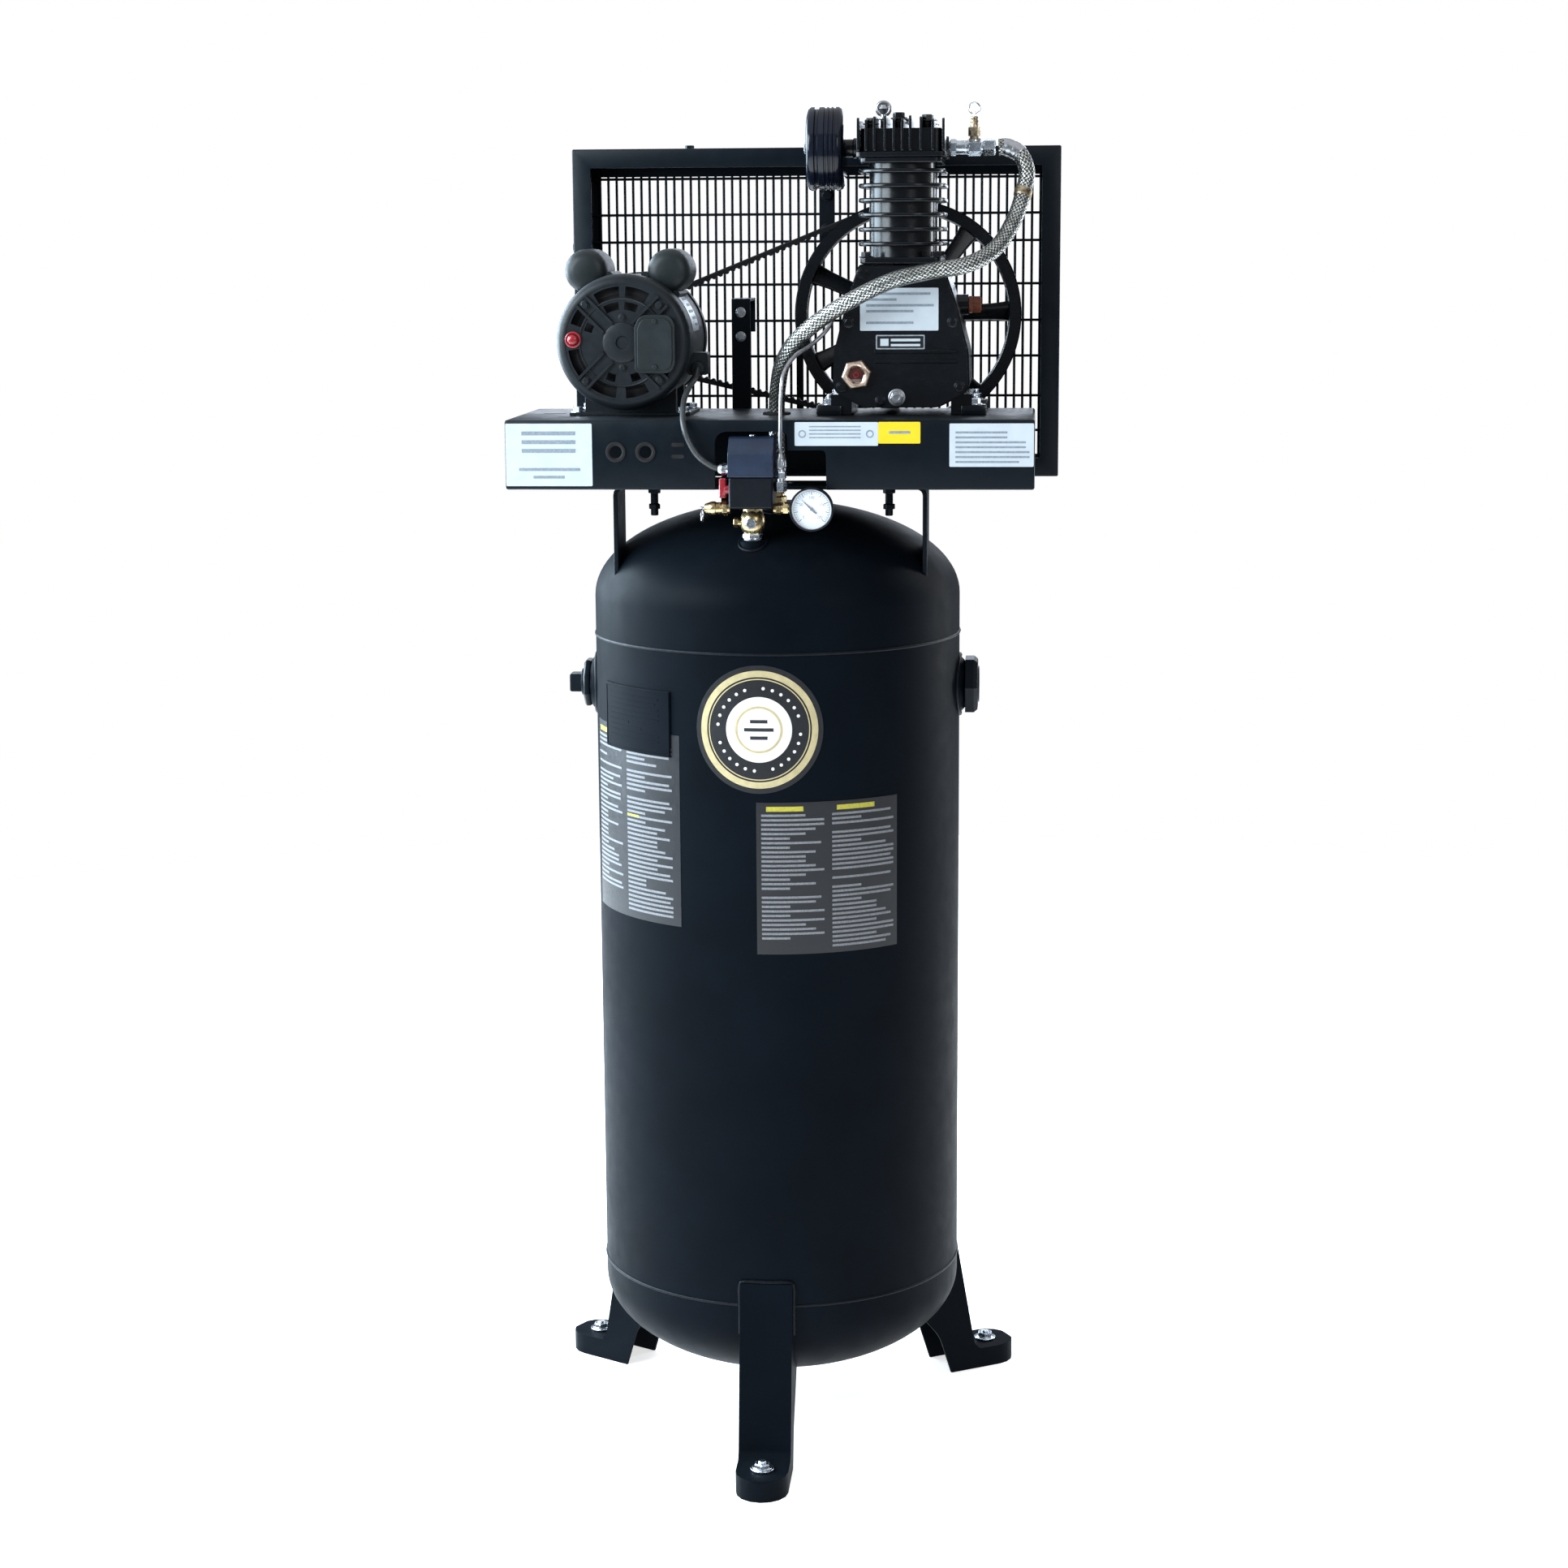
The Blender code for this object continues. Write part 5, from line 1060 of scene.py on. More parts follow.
def make_cylinders():
    lift = CASE_TOP + 0.0003
    shapes = [extruded(fin_plan(0.054, 0.010), lift, lift + 0.009), extruded(fin_plan(0.054, 0.010),
              CYLINDER_TOP - 0.008, CYLINDER_TOP)]
    for y in CYLINDER_Y:
        shapes.append(disc(0.0440, lift + 0.002, CYLINDER_TOP - 0.001, 64, at=(0, y, 0)))
    shapes.append(block((-0.012, 0.012), (CYLINDER_Y[0], CYLINDER_Y[1]),
                        (lift + 0.003, CYLINDER_TOP - 0.002)))
    for k in range(6):
        z = lift + 0.026 + 0.0190 * k
        shapes.append(extruded(fin_plan(0.058, 0.050), z - 0.0030, z + 0.0030))
    piece("cylinders", moved(merged(*shapes), (PUMP_X, 0, 0)), "enamel", replaces="cylinder_block",
          bevel=0.0024, segments=3)
    nuts = []
    for x in (-0.046, 0.046):
        for y in (CYLINDER_Y[0] - 0.045, -0.030, CYLINDER_Y[1] + 0.045):
            nuts.append(bolt(0.0070, (PUMP_X + x, y, lift + 0.009), spin=x * 300 + y * 200, head=0.8))
    piece("cylinder_nuts", merged(*nuts), "enamel", bevel=0.0004)
    refine("piston_front", "steel", 0.0006)
    refine("piston_rear", "steel", 0.0006)


def make_head():
    base = CYLINDER_TOP + 0.0003
    y0, y1 = CYLINDER_Y[0] - 0.056, CYLINDER_Y[1] + 0.056
    shapes = [extruded(panel((-0.0590, 0.0590), (y0, y1), 0.007), base, base + 0.0060),
              extruded(panel((-0.0530, 0.0530), (y0 + 0.0085, y1 - 0.0085), 0.008), base + 0.004, 1.8120)]
    for x, top in ((-0.0560, 1.8255), (-0.0455, 1.8230), (-0.0345, 1.8270), (-0.0205, 1.8280),
                   (-0.0090, 1.8250),
                   (0.0020, 1.8240), (0.0125, 1.8280), (0.0265, 1.8265), (0.0420, 1.8235), (0.0560, 1.8245)):
        outline = panel((-top, -base - 0.0040), (y0 + 0.0015, y1 - 0.0015), 0.006)
        shapes.append(extruded(outline, x - 0.0018, x + 0.0018, axis="X"))
    for x in (-0.0610, 0.0550):
        shapes.append(disc(0.0150, x, x + 0.0060, 40, 0.0008, at=(0, AIR_Y, AIR_Z), axis="X"))
    piece("head_block", moved(merged(*shapes), (PUMP_X, 0, 0)), "enamel", replaces="cylinder_head",
          bevel=0.0008)
    bolts = []
    deck_top = 1.8100
    for x, y, top in ((-0.0400, -0.106, 1.826), (-0.0035, -0.106, 1.833), (0.0345, -0.106, 1.830),
                      (-0.0400, 0.046, 1.828), (-0.0035, 0.046, 1.831), (0.0345, 0.046, 1.830),
                      (0.0345, -0.030, 1.828), (-0.0035, -0.030, 1.830)):
        bolts.append(disc(0.0072, deck_top - 0.001, top - 0.008, 24, 0.0008, at=(PUMP_X + x, y, 0)))
        bolts.append(bolt(0.0080, (PUMP_X + x, y, top - 0.0085), spin=x * 500, head=0.85))
    piece("head_bolts", merged(*bolts), "enamel", bevel=0.0004)
    x = 0.1496
    shank = disc(0.0040, HEAD_TOP - 0.0305, HEAD_TOP + 0.005, 24, at=(x, AIR_Y, 0))
    collar = disc(0.0068, HEAD_TOP - 0.002, HEAD_TOP + 0.002, 32, 0.0008, at=(x, AIR_Y, 0))
    ring = tube([(x + u, AIR_Y, w) for u, w in circle(0.0085, 40, (0, HEAD_TOP + 0.0125))], 0.0026, 12, True)
    knob = lathe([(0, 0.0064), (0.0040, 0.0052), (0.0064, 0.0), (0.0040, -0.0052), (0, -0.0064)], 24,
                 (x, AIR_Y, HEAD_TOP + 0.0125))
    piece("eye", merged(shank, collar, ring, knob), "steel", replaces="lifting_eye")


def make_filter():
    spot = (0, AIR_Y, AIR_Z)
    low, high = 0.048, 0.0982
    r = 0.0558
    side = [(0, high), (r - 0.0135, high), (r - 0.0065, high - 0.0008), (r - 0.0020, high - 0.0035),
            (r, high - 0.0080)]
    for z in (high - 0.013, high - 0.0190, high - 0.0250):
        side += [(r, z + 0.0016), (r - 0.0015, z + 0.0008), (r - 0.0015, z - 0.0008), (r, z - 0.0016)]
    side += [(r, low + 0.0165), (r - 0.0027, low + 0.0150), (r - 0.0027, low + 0.0120), (r, low + 0.0105),
             (r, low + 0.0050), (r - 0.0015, low + 0.0020), (r - 0.0055, low), (0.0300, low),
             (0.0280, low + 0.0020), (0.0120, low + 0.0020), (0.0100, low), (0, low)]
    piece("filter_case", lathe(side, 96, spot, "X"), "filter", replaces="air_filter", soft=40)
    bung = hexagon(0.0070, low - 0.0052, low + 0.0005, at=spot, axis="X")
    piece("filter_nut", bung, "zinc", bevel=0.0004)
    left = PUMP_X - 0.061
    pipe = [(0, left + 0.004), (0.0110, left + 0.004), (0.0125, left - 0.0003), (0.0138, left - 0.002),
            (0.0138, left - 0.006),
            (0.0122, left - 0.0075), (0.0122, high + 0.001), (0.0128, high), (0.0100, high - 0.001),
            (0, high - 0.001)]
    piece("intake", lathe(pipe, 48, spot, "X"), "enamel", replaces="intake_pipe")


def make_discharge():
    right = PUMP_X + 0.061
    spot = (0, AIR_Y, AIR_Z)
    valve = 0.2715
    base = AIR_Z + 0.0104
    shapes = [disc(0.0074, right - 0.006, 0.3005, 32, 0.0004, at=spot, axis="X"),
              hexagon(0.0118, 0.2640, 0.2810, at=spot, axis="X"),
              disc(0.0105, 0.2620, 0.2660, 32, 0.0006, at=spot, axis="X"),
              moved(hexagon(0.0118, -0.2985, -0.2830), spot, "-X", 15.0),
              disc(0.0100, 0.2955, 0.3003, 32, 0.0006, at=spot, axis="X"),
              disc(0.0095, right + 0.0003, 0.2640, 32, 0.0008, at=spot, axis="X"),
              hexagon(0.0112, right + 0.0020, right + 0.0100, at=spot, axis="X"),
              disc(0.0066, AIR_Z, base, 24, 0.0005, at=(valve, AIR_Y, 0))]
    piece("discharge_fittings", merged(*shapes), "zinc", replaces="discharge_manifold", bevel=0.0004)
    low = base + 0.0003
    body = [(0.0024, low + 0.0300), (0.0046, low + 0.0300), (0.0054, low + 0.0285), (0.0054, low + 0.0270),
            (0.0047, low + 0.0262),
            (0.0047, low + 0.0250), (0.0054, low + 0.0242), (0.0054, low + 0.0225), (0.0047, low + 0.0217),
            (0.0047, low + 0.0205), (0.0055, low + 0.0195), (0.0055, low + 0.0170), (0.0060, low + 0.0160),
            (0.0060, low), (0.0024, low)]
    parts = merged(lathe(body, 32, (valve, AIR_Y, 0)), lathe([(0.0082, low + 0.0155), (0.0082, low + 0.0040),
                   (0.0040, low + 0.0040), (0.0040, low + 0.0155)], 6, (valve, AIR_Y, 0)))
    piece("head_valve", parts, "rusty_brass", replaces="head_relief_valve", bevel=0.0003)
    pull("head_pull", "head_ring", "head_relief_ring", (valve, AIR_Y, low + 0.0300), "Z")


def pull(name, body, node, at, axis):
    """A relief valve's stem and its split pull ring."""
    stem = disc(0.0018, -0.0139, 0.0058, 16, 0.0004, at=at, axis=axis)
    spot = Vector(at)
    if axis == "Z":
        loop = [spot + Vector((x, 0.0, z)) for x, z in circle(0.0075, 48, (0.0, 0.0105))]
    else:
        loop = [spot + Vector((-0.0035, y, z)) for y, z in circle(0.0095, 48, (0.0, -0.0095))]
    piece(name, merged(stem, tube(loop, 0.0010, 10, True)), "chrome", body, node)


HOSE_STOPS = [(0.3040, AIR_Y, AIR_Z), (0.3150, -0.030, 1.789), (0.3330, -0.033, 1.779),
              (0.3420, -0.039, 1.757),
              (0.3380, -0.048, 1.731), (0.3260, -0.068, 1.694), (0.3020, -0.098, 1.656),
              (0.2650, -0.130, 1.635),
              (0.2190, -0.150, 1.627), (0.1700, -0.156, 1.616), (0.1210, -0.154, 1.594),
              (0.0710, -0.145, 1.564),
              (0.0360, -0.131, 1.534), (0.0180, -0.112, 1.505), (0.0105, -0.093, 1.475),
              (0.0075, -0.080, 1.447),
              (0.0070, -0.0755, 1.420), (0.0070, -0.0755, 1.385), (0.0070, -0.0755, 1.3480)]
CABLE_STOPS = [(-0.0975, -0.100, 1.498), (-0.0985, -0.118, 1.487), (-0.1030, -0.150, 1.477),
               (-0.1070, -0.186, 1.458),
               (-0.1040, -0.2115, 1.426), (-0.0890, -0.2140, 1.394), (-0.0700, -0.2090, 1.377),
               (-0.0570, -0.2060, 1.372), (-0.0470, -0.2060, 1.372)]
UNLOADER_STOPS = [(0.0225, -0.2080, 1.384), (0.0228, -0.2085, 1.420), (0.0240, -0.2050, 1.476),
                  (0.0280, -0.1940, 1.500), (0.0400, -0.1700, 1.518), (0.0600, -0.1420, 1.532),
                  (0.0800, -0.1250, 1.552), (0.0900, -0.1050, 1.575), (0.0980, -0.0900, 1.590)]


def braided(route, radius, carriers, sides):
    """A tube whose skin is two families of strands, woven over and under each other."""
    spacing = (route[1] - route[0]).length
    lay = carriers / 2 * spacing / (math.tau * radius)
    tangents = [(b - a).normalized() for a, b in zip(route, route[1:])]
    tangents.append(tangents[-1])
    across = tangents[0].orthogonal().normalized()
    points, faces, rises = [], [], []
    for k, spot in enumerate(route):
        across = (across - tangents[k] * across.dot(tangents[k])).normalized()
        up = tangents[k].cross(across)
        for i in range(sides):
            turn = i / sides
            u = turn * carriers / 2 + k * lay * 0.85
            v = turn * carriers / 2 - k * lay * 0.85
            over = (math.floor(u) + math.floor(v)) % 2 == 0
            first = math.sin(math.pi * (u % 1.0))
            second = math.sin(math.pi * (v % 1.0))
            rise = max(first * (1.0 if over else 0.55), second * (0.55 if over else 1.0))
            rises.append(rise)
            reach = radius - 0.0012 + 0.0012 * rise ** 0.6
            angle = math.tau * turn
            points.append(tuple(spot + across * (reach * math.cos(angle)) + up * (reach * math.sin(angle))))
    for k in range(len(route) - 1):
        a, b = k * sides, (k + 1) * sides
        faces += [(a + i, a + (i + 1) % sides, b + (i + 1) % sides, b + i) for i in range(sides)]
    faces += [tuple(range(sides)), tuple(range((len(route) - 1) * sides, len(route) * sides))]
    return (points, faces), rises


def make_lines():
    route = smooth_route(HOSE_STOPS, 0.00115)
    skin, rises = braided(route, 0.0109, 24, 96)
    hose = piece("hose", skin, "braid", replaces="discharge_hose", soft=75)
    # faces sunk between the strands get the dark braid_shadow finish: painted shade in the gaps of the weave
    hose.data.materials.append(LOOKS["braid_gap_shade"][0])
    for face in hose.data.polygons:
        height = sum(rises[i] for i in face.vertices) / len(face.vertices)
        face.material_index = 1 if height < 0.72 else 0
    sleeves = []
    count = len(route)
    for start, finish, radius in ((6, 30, 0.0122), (count - 30, count - 6, 0.0122)):
        run = route[start:finish:2]
        scales = [0.94] + [1.0 if k % 4 else 0.95 for k in range(len(run) - 2)] + [0.94]
        sleeves.append(tube(run, radius, 32, scales=scales))
    piece("hose_sleeves", merged(*sleeves), "steel", soft=40)
    mid = min(range(count), key=lambda k: abs(route[k].z - 1.728) + (route[k].x < 0.3))
    clamp = tube(route[mid - 5:mid + 6], 0.0121, 32,
                 scales=[0.95, 1.0, 1.02, 0.99, 1.02, 1.0, 1.02, 0.99, 1.02, 1.0, 0.95])
    piece("hose_collar", clamp, "rusty_brass", soft=40)

    route = smooth_route(CABLE_STOPS, 0.004)
    piece("cable", tube(route, 0.0038, 20), "cord", replaces="motor_cable")
    gland = [disc(0.0068, 0.0, 0.0050, 32, 0.0006), hexagon(0.0082, 0.0045, 0.0105),
             lathe([(0, 0.0150), (0.0050, 0.0150), (0.0070, 0.0125), (0.0074, 0.0100), (0, 0.0100)], 32)]
    piece("cable_gland", moved(merged(*gland), (SWITCH_X[0], -0.2060, 1.3720), "-X"), "zinc", bevel=0.0003)
    box = merged(extruded(panel((-0.112, -0.084), (1.490, 1.520), 0.004), 0.0, 0.034, (0, -0.062, 0), "-Y"),
                 disc(0.0090, 0.033, 0.0405, 32, 0.0010, at=(-0.0975, -0.0605, 1.4985), axis="-Y"),
                 hexagon(0.0100, 0.034, 0.0380, at=(-0.0975, -0.0605, 1.4985), axis="-Y"))
    piece("conduit_elbow", box, "bakelite", bevel=0.0012)

    route = smooth_route(UNLOADER_STOPS, 0.005)
    piece("unloader_line", tube(route, 0.0028, 14), "steel", replaces="unloader_tube")
    stack = [(0, 1.3920), (0.0036, 1.3920), (0.0050, 1.3880), (0.0058, 1.3860), (0.0072, 1.3850),
             (0.0076, 1.3830),
             (0.0076, 1.3745), (0.0060, 1.3725), (0.0060, 1.3700), (0.0066, 1.3690), (0.0066, 1.3425),
             (0, 1.3425)]
    piece("unloader_body", lathe(stack, 32, (0.0225, -0.2080, 0)), "steel")
    nuts = merged(hexagon(0.0086, 1.3430, 1.3560), hexagon(0.0082, 1.3600, 1.3690, spin=20.0),
                  hexagon(0.0080, 1.3750, 1.3830, spin=8.0))
    piece("unloader_nuts", moved(nuts, (0.0225, -0.2080, 0)), "zinc", bevel=0.0003)


# ---------------------------------------------------------------- motor

def make_motor():
    spot = (MOTOR_X, 0, MOTOR_Z)
    y0, y1 = -0.120, 0.030
    inner = MOTOR_R - 0.0035
    shell = [(MOTOR_R, y1)]
    shell += [(MOTOR_R, y0 + 0.012), (MOTOR_R + 0.0008, y0 + 0.010), (MOTOR_R + 0.0008, y0 + 0.004),
              (MOTOR_R, y0 + 0.002)]
    shell += [(MOTOR_R, y0), (inner, y0), (inner, y1)]
    piece("motor_body", lathe(shell, 96, spot, "Y"), "motor", replaces="motor_shell")

    bell = MOTOR_R + 0.002
    wall = [(0.0800, 0.0), (0.0840, -0.0016), (0.0870, -0.0045), (0.0892, -0.0090), (bell, -0.0150),
            (bell, -0.0447),
            (inner, -0.0447), (inner, -0.0150), (0.0800, -0.0080), (0.0770, -0.0045), (0.0770, 0.0)]
    rim = lathe(wall, 96)
    slots = [arc_slot(0.0590, 0.0735, a, b)
             for a, b in ((60, 86), (93, 121), (142, 160), (188, 220), (234, 262),
                                                           (273, 298), (322, 345))]
    slots += [arc_slot(0.0430, 0.0535, a, b, 6)
              for a, b in ((66, 86), (95, 118), (150, 163), (244, 258), (283, 297))]
    face = pierced(circle(0.0782, 96), slots, -0.0040, -0.0006)
    shapes = [rim, face]
    ribs = [lathe([(0.0565, 0.0004), (0.0580, 0.0012), (0.0588, 0.0), (0.0580, -0.0030), (0.0550, -0.0030)],
                  96)]
    for angle in CORNERS:
        turn = Matrix.Rotation(math.radians(angle), 4, "Z")
        for shift in (-0.0085, 0.0085):
            points, faces = block((0.0270, 0.0775), (shift - 0.0018, shift + 0.0018), (-0.0020, 0.0036))
            ribs.append(([tuple(turn @ Vector(p)) for p in points], faces))
    boss = [(0, -0.0016), (0.0075, -0.0016), (0.0090, 0.0016), (0.0225, 0.0020), (0.0262, 0.0006),
            (0.0275, -0.0030), (0, -0.0030)]
    shapes += ribs + [lathe(boss, 64)]
    place = (MOTOR_X, MOTOR_FACE, MOTOR_Z)
    piece("motor_face", moved(merged(*shapes), place, "-Y"), "motor", replaces="motor_end_bell", bevel=0.0005)
    depth = [(0, -0.0160), (0.0360, -0.0160), (0.0420, -0.0120), (0.0560, -0.0140), (0.0640, -0.0105),
             (0.0740, -0.0130), (inner - 0.001, -0.0250), (0, -0.0250)]
    piece("motor_fan", lathe(depth, 64, place, "-Y"), "rubber")
    bolts = []
    for angle in CORNERS:
        a = math.radians(angle)
        bolts.append(bolt(0.0048,
                          (MOTOR_X + 0.0700 * math.cos(a), MOTOR_FACE + 0.0002,
                           MOTOR_Z + 0.0700 * math.sin(a)), "-Y", angle))
    for dz in (-0.0330, 0.0330):
        bolts.append(bolt(0.0040, (MOTOR_X, MOTOR_FACE + 0.0002, MOTOR_Z + dz), "-Y", 10.0))
    piece("motor_bolts", merged(*bolts), "motor", bevel=0.0003)

    rear = [(0.0135, 0.0), (0.030, 0.0), (0.034, -0.0030), (0.070, -0.0030), (bell - 0.010, -0.0024),
            (bell - 0.004, -0.0060),
            (bell, -0.0120), (bell, -0.0297), (inner, -0.0297), (inner, -0.0110), (0.0135, -0.0070)]
    shapes = [lathe(rear, 96)]
    for k in range(6):
        turn = Matrix.Rotation(math.tau * k / 6, 4, "Z")
        points, faces = block((0.0300, 0.0780), (-0.0022, 0.0022), (-0.0050, -0.0006))
        shapes.append(([tuple(turn @ Vector(p)) for p in points], faces))
    piece("motor_rear", moved(merged(*shapes), (MOTOR_X, MOTOR_REAR, MOTOR_Z), "Y"), "motor",
          replaces="motor_drive_bell", bevel=0.0005)
    # dark arc plates laid on the rear bell where its vents are, no holes are cut: painted shade standing in
    # for the openings
    holes = [moved(extruded(arc_slot(0.046, 0.066, a + 8, a + 52, 8), -0.0031, -0.0026),
                   (MOTOR_X, MOTOR_REAR, MOTOR_Z), "Y")
             for a in range(0, 360, 60)]
    piece("motor_rear_vent_shade", merged(*holes), "rubber")
    refine("motor_base", "motor", 0.0008)
    refine("motor_stator", "steel", 0.0)
    refine("motor_rotor", "steel", 0.0004)
    bolts = [bolt(0.0075, (MOTOR_X + x, y, 1.4405), spin=x * 200, head=0.8) for x in (-0.072, 0.072)
             for y in (-0.092, 0.006)]
    piece("base_bolts", merged(*bolts), "zinc", bevel=0.0003)

    for name, side in (("left", -1), ("right", 1)):
        lean = math.radians(31.0)
        at = (MOTOR_X + side * CAPACITOR_REACH * math.sin(lean), 0,
              MOTOR_Z + CAPACITOR_REACH * math.cos(lean))
        r = 0.0290
        can = [(0, -0.0120), (0.0140, -0.0122), (0.0215, -0.0145), (0.0262, -0.0190), (r - 0.0006, -0.0270),
               (r, -0.0330),
               (r, -0.0980), (r - 0.0006, -0.1040), (0.0262, -0.1120), (0.0215, -0.1165), (0.0140, -0.1188),
               (0, -0.1190)]
        shapes = [lathe(can, 64, at, "Y")]
        inward = Vector((-side * math.sin(lean), 0, -math.cos(lean)))
        for shift in (-1, 1):
            foot = Vector(at) + inward * 0.0215
            foot += Vector((inward.z, 0, -inward.x)) * (shift * 0.0240)
            run = [foot + Vector((0, y, 0)) for y in (-0.020, -0.110)]
            shapes.append(tube(run, 0.0052, 16))
        piece("capacitor_cover_%s_fine" % name, merged(*shapes), "bakelite",
              replaces="capacitor_cover_" + name, soft=45)
    cover = rounded_corners([(-0.1730, 1.4960, 0.007), (-0.1230, 1.4960, 0.012), (-0.1190, 1.5100, 0.012),
                             (-0.1190, 1.5600, 0.012), (-0.1260, 1.5720, 0.012), (-0.1660, 1.5720, 0.014),
                             (-0.1730, 1.5560, 0.008)], 6)
    face = MOTOR_FACE - 0.0005
    shapes = [extruded(cover, 0.0, 0.0085, (0, face, 0), "-Y")]
    inset = [((x + 0.146) * 0.86 - 0.146, (z - 1.534) * 0.88 + 1.534) for x, z in cover]
    shapes.append(extruded(inset, 0.0080, 0.0099, (0, face, 0), "-Y"))
    piece("wiring_cover", merged(*shapes), "bakelite", replaces="terminal_cover", bevel=0.0018, segments=3)
    bolts = [bolt(0.0036, (x, face - 0.0098, z), "-Y", washer=False)
             for x, z in ((-0.1460, 1.5640), (-0.1460, 1.5040))]
    piece("cover_bolts", merged(*bolts), "bakelite", bevel=0.0003)
    button = [(0, 0.0080), (0.0030, 0.0079), (0.0052, 0.0072), (0.0064, 0.0058), (0.0072, 0.0035),
              (0.0072, 0.0025), (0, 0.0025)]
    at = (-0.2560, MOTOR_FACE - 0.0003, 1.540)
    piece("reset", lathe(button, 40, at, "-Y"), "red", "button", "reset_button")
    ring = [(0.0108, 0.0), (0.0108, 0.0022), (0.0096, 0.0030), (0.0080, 0.0030), (0.0076, 0.0020),
            (0.0076, 0.0)]
    piece("reset_collar", lathe(ring, 40, at, "-Y"), "red")
    patch = []
    for k in range(13):
        a = math.radians(8.0 + 3.6 * k)
        patch.append((MOTOR_R * math.cos(a), MOTOR_R * math.sin(a)))
    outer = [(x * 1.0062, z * 1.0062) for x, z in reversed(patch)]
    plate = extruded(patch + outer, 0.030, 0.098, (MOTOR_X, 0, MOTOR_Z), "-Y")
    piece("rating_plate", plate, "foil")
    lines = []
    for k in range(6):
        a0, a1 = math.radians(12.0 + 6.2 * k), math.radians(14.6 + 6.2 * k)
        r0, r1 = MOTOR_R * 1.0060, MOTOR_R * 1.0085
        quad = [(r * math.cos(a), r * math.sin(a)) for r, a in ((r0, a0), (r0, a1), (r1, a1), (r1, a0))]
        lines.append(extruded(quad, 0.036, 0.066 + 0.008 * (k % 3), (MOTOR_X, 0, MOTOR_Z), "-Y"))
    piece("rating_lines", merged(*lines), "mid")


# ---------------------------------------------------------------- switch, gauge and valves

def make_controls():
    x0, x1 = SWITCH_X
    y0, y1 = -0.222, -0.166
    split = 1.362
    refine("switch_base", "black", 0.0016, 34.0, 3)
    outline = rounded_corners([(y0 - 0.001, split + 0.0003, 0.001), (y1 + 0.001, split + 0.0003, 0.001),
                               (y1 + 0.001, 1.414, 0.006), (y0 + 0.022, 1.414, 0.012),
                               (y0 - 0.001, 1.394, 0.008)], 6)
    turn = Matrix.Rotation(math.pi / 2, 4, "Z") @ Matrix.Rotation(math.pi / 2, 4, "X")
    points, faces = extruded(outline, x0 - 0.001, x1 + 0.001)
    cover = ([tuple(turn @ Vector(p)) for p in points], faces)
    lip = block((x0 - 0.0014, x1 + 0.0014), (y0 - 0.0014, y1 + 0.0014), (split + 0.0004, split + 0.0034))
    piece("switch_hood", merged(cover, lip), "blue", replaces="switch_cover", bevel=0.0022, segments=3)
    screw = merged(disc(0.0042, 1.4136, 1.4160, 24, 0.0006, at=(-0.016, -0.188, 0)),
                   block((-0.0195, -0.0125), (-0.1885, -0.1875), (1.4158, 1.4162)))
    piece("hood_screw", screw, "zinc")
    refine("switch_lever", "red", 0.0010, 34.0, 3)

    x, y = NIPPLE
    z = dome_height(x, y)
    stack = [(0, 1.3200), (0.0102, 1.3200), (0.0102, z + 0.0430), (0.0112, z + 0.0420), (0.0140, z + 0.0385),
             (0.0158, z + 0.0330), (0.0165, z + 0.0265), (0.0158, z + 0.0200), (0.0140, z + 0.0150),
             (0.0112, z + 0.0120), (0.0102, z + 0.0110), (0.0102, z - 0.0110), (0, z - 0.0110)]
    piece("nipple", lathe(stack, 48, (x, y, 0)), "brass", replaces="switch_nipple")
    nuts = merged(hexagon(0.0128, 1.3100, 1.3200), disc(0.0108, z + 0.0100, z + 0.0160, 40, 0.0006))
    piece("nipple_nuts", moved(nuts, (x, y, 0)), "brass", bevel=0.0004)
    foot = merged(hexagon(0.0135, z + 0.0060, z + 0.0125, spin=15.0),
                  disc(0.0125, z + 0.0010, z + 0.0065, 40, 0.0008))
    piece("nipple_foot", moved(foot, (x, y, 0)), "zinc", bevel=0.0004)
    bung = merged(disc(0.0062, 0.0, 0.0065, 32, 0.0006), hexagon(0.0078, 0.0045, 0.0115))
    piece("nipple_bung", moved(bung, (x, y - 0.0135, z + 0.0265), "-Y", 10.0), "zinc", bevel=0.0004)
    stub = merged(disc(0.0058, 0.0, 0.0080, 32, 0.0006), hexagon(0.0072, 0.0060, 0.0120))
    piece("nipple_stub", moved(stub, (x - 0.0135, y, z + 0.0265), "-X", 10.0), "brass", bevel=0.0004)

    body = [(0.0024, 0.0340), (0.0050, 0.0340), (0.0062, 0.0325), (0.0072, 0.0290), (0.0084, 0.0262),
            (0.0090, 0.0240),
            (0.0090, 0.0200), (0.0078, 0.0185), (0.0078, 0.0120), (0.0070, 0.0105), (0.0070, 0.0003),
            (0.0024, 0.0003)]
    nut = lathe([(0.0098, 0.0100), (0.0104, 0.0088), (0.0104, 0.0035), (0.0060, 0.0035), (0.0060, 0.0100)], 6)
    piece("tank_valve", moved(merged(lathe(body, 40), nut), (x0, -0.200, 1.320), "-X"), "brass",
          replaces="tank_relief_valve", bevel=0.0003)
    pull("tank_pull", "tank_ring", "tank_relief_ring", (x0 - 0.034, -0.200, 1.320), "-X")

    low = dome_height(*VALVE)
    stack = [(0, 1.3475), (0.0085, 1.3475), (0.0085, 1.3420), (0.0112, 1.3415), (0.0112, 1.3300),
             (0.0096, 1.3290),
             (0.0096, low + 0.0170), (0.0102, low + 0.0085), (0.0102, low - 0.0110), (0, low - 0.0110)]
    parts = merged(lathe(stack, 40), hexagon(0.0130, low + 0.0110, low + 0.0200))
    piece("line_check_valve", moved(parts, (*VALVE, 0)), "brass", replaces="check_valve", bevel=0.0004)
    make_gauge()


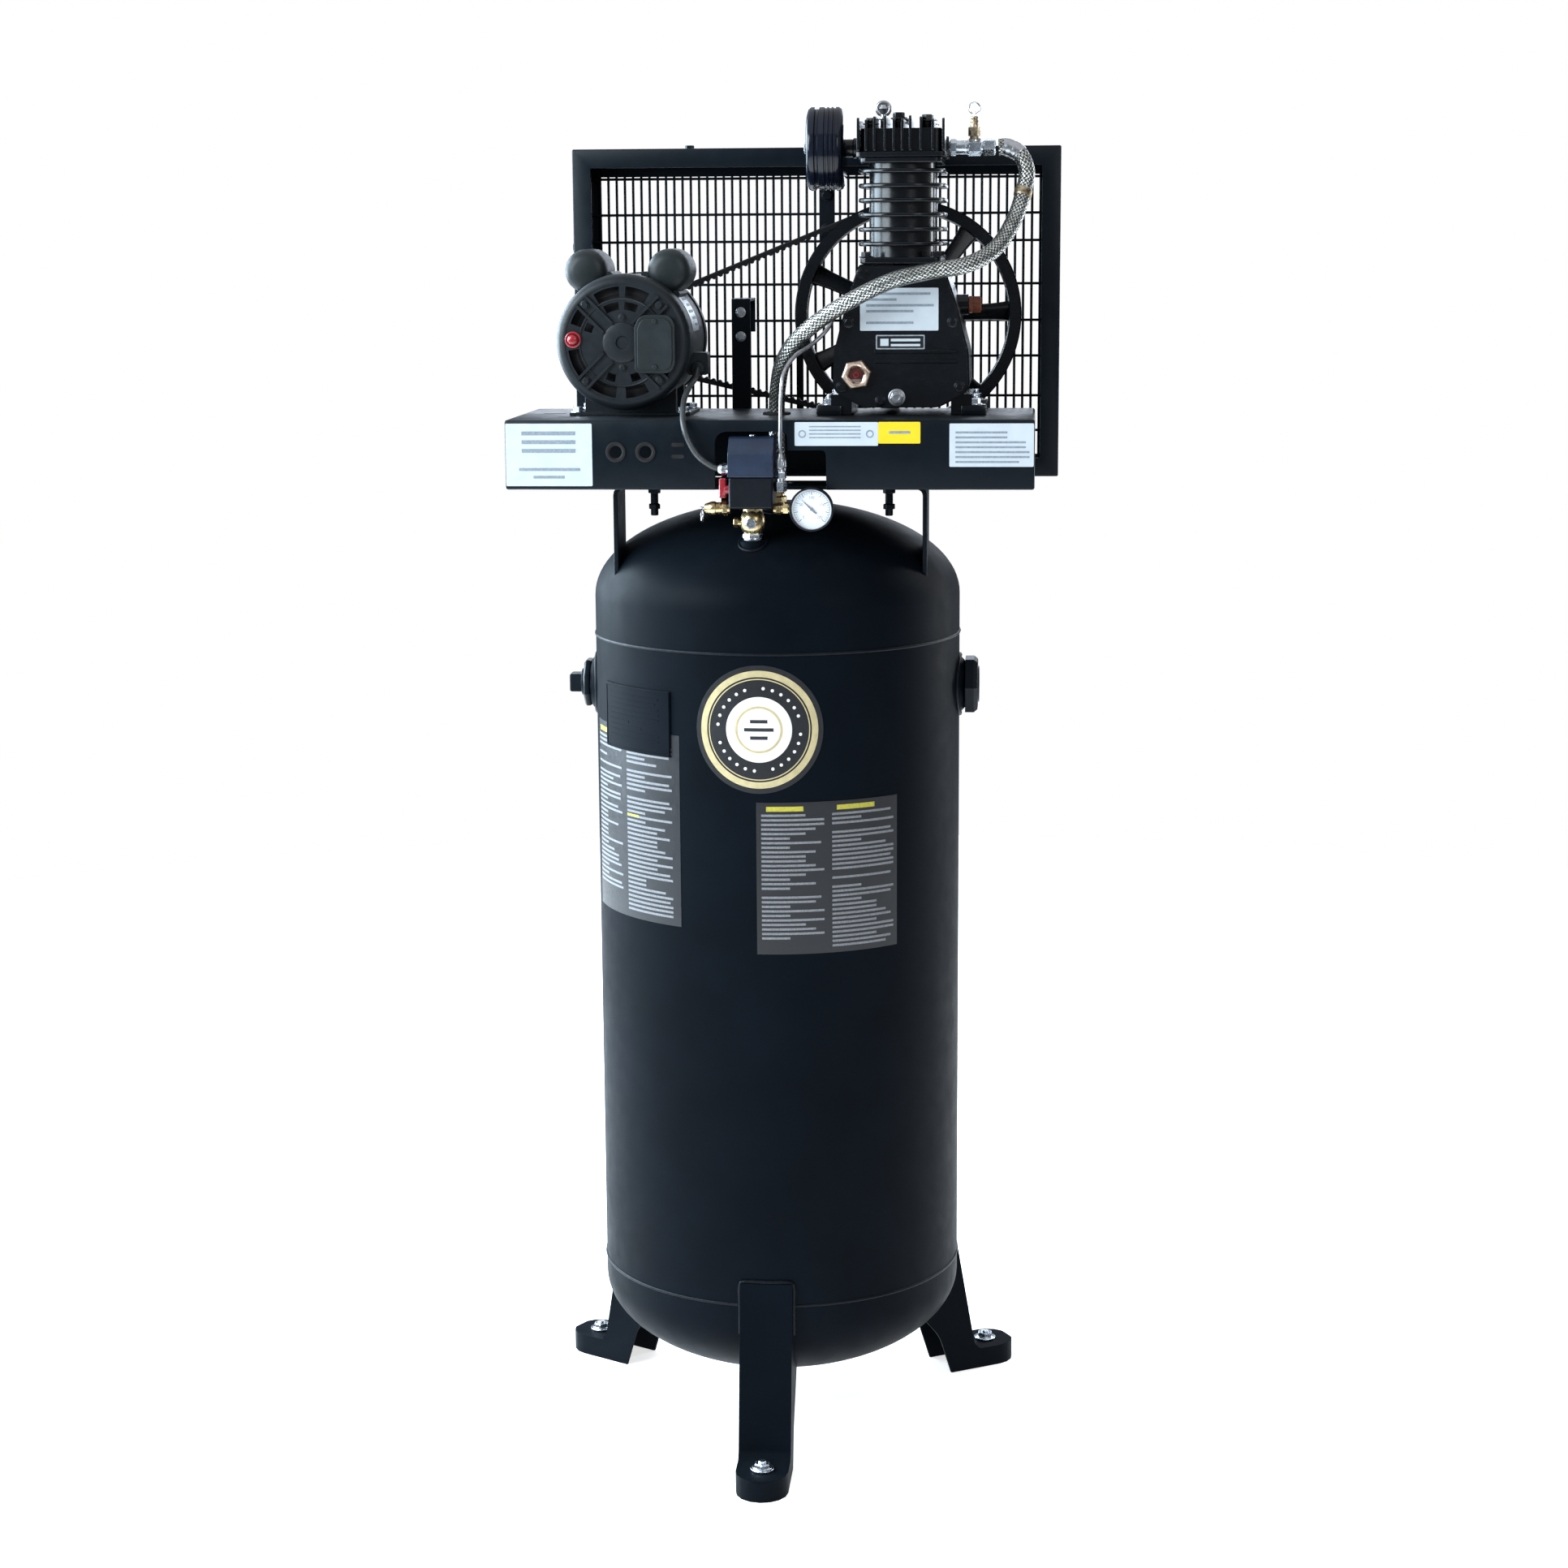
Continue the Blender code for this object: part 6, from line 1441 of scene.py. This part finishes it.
def make_gauge():
    _, gy, gz = GAUGE
    r = GAUGE_R
    pipe = merged(hexagon(0.0080, 0.0040, 0.0105), disc(0.0062, 0.0003, 0.0220 - 0.0003, 32, 0.0004),
                  hexagon(0.0074, 0.0130, 0.0205, spin=20.0))
    piece("gauge_nipple", moved(pipe, (SWITCH_X[1], gy, gz), "X"), "brass", replaces="gauge_pipe",
          bevel=0.0004)
    case = [(0, 0.0040), (r - 0.0026, 0.0040), (r - 0.0026, 0.0122), (r - 0.0016, 0.0130),
            (r - 0.0006, 0.0128), (r, 0.0120),
            (r, 0.0085), (r - 0.0010, 0.0078), (r - 0.0010, -0.0100), (r - 0.0030, -0.0130), (0, -0.0130)]
    piece("gauge_shell", lathe(case, 72, GAUGE, "-Y"), "black", replaces="gauge_case")
    piece("gauge_dial", disc(r - 0.0028, 0.0040, 0.0045, 64, at=GAUGE, axis="-Y"), "dial")
    marks = []
    for k in range(33):
        angle = math.radians(225.0 - 270.0 * k / 32)
        inner = 0.0205 if k % 4 else 0.0185
        width = 0.00022 if k % 4 else 0.00042
        turn = Matrix.Rotation(angle, 4, "Z")
        points, faces = block((inner, 0.0232), (-width, width), (0.0044, 0.0047))
        marks.append(([tuple(turn @ Vector(p)) for p in points], faces))
    marks.append(extruded(arc_slot(0.0236, 0.0241, -45, 225, 48), 0.0044, 0.0047))
    piece("dial_marks", moved(merged(*marks), GAUGE, "-Y"), "ink")
    for k in range(5):
        angle = math.radians(225.0 - 67.5 * k)
        text = bpy.data.curves.new("dial_number", "FONT")
        text.body = str(50 * k)
        text.size = 0.0052
        text.extrude = 0.0001
        text.align_x, text.align_y = "CENTER", "CENTER"
        item = bpy.data.objects.new("number", text)
        scene.collection.objects.link(item)
        mesh = bpy.data.meshes.new_from_object(item.evaluated_get(bpy.context.evaluated_depsgraph_get()))
        bpy.data.objects.remove(item)
        part = ([(v.co.x + 0.0150 * math.cos(angle), v.co.y + 0.0150 * math.sin(angle), v.co.z + 0.0046)
                 for v in mesh.vertices], [tuple(p.vertices) for p in mesh.polygons])
        piece("dial_number_%d" % k, moved(part, GAUGE, "-Y"), "ink", soft=60)
    hub = [(0, 0.0076), (0.0016, 0.0074), (0.0022, 0.0066), (0.0022, 0.0044), (0, 0.0044)]
    piece("needle_hub", lathe(hub, 24, GAUGE, "-Y"), "ink", "needle")
    refine("gauge_needle", "ink", 0.0001)
    glass = disc(r - 0.0027, 0.0106, 0.0116, 64, at=GAUGE, axis="-Y")
    piece("gauge_lens", glass, "glass")


make_camera()
make_studio()
make_floor()
make_tank()
make_tank_labels()
make_flat_labels()
make_deck()
make_guard()
make_flywheel()
make_belt()
make_pump()
make_filter()
make_discharge()
make_lines()
make_motor()
make_controls()
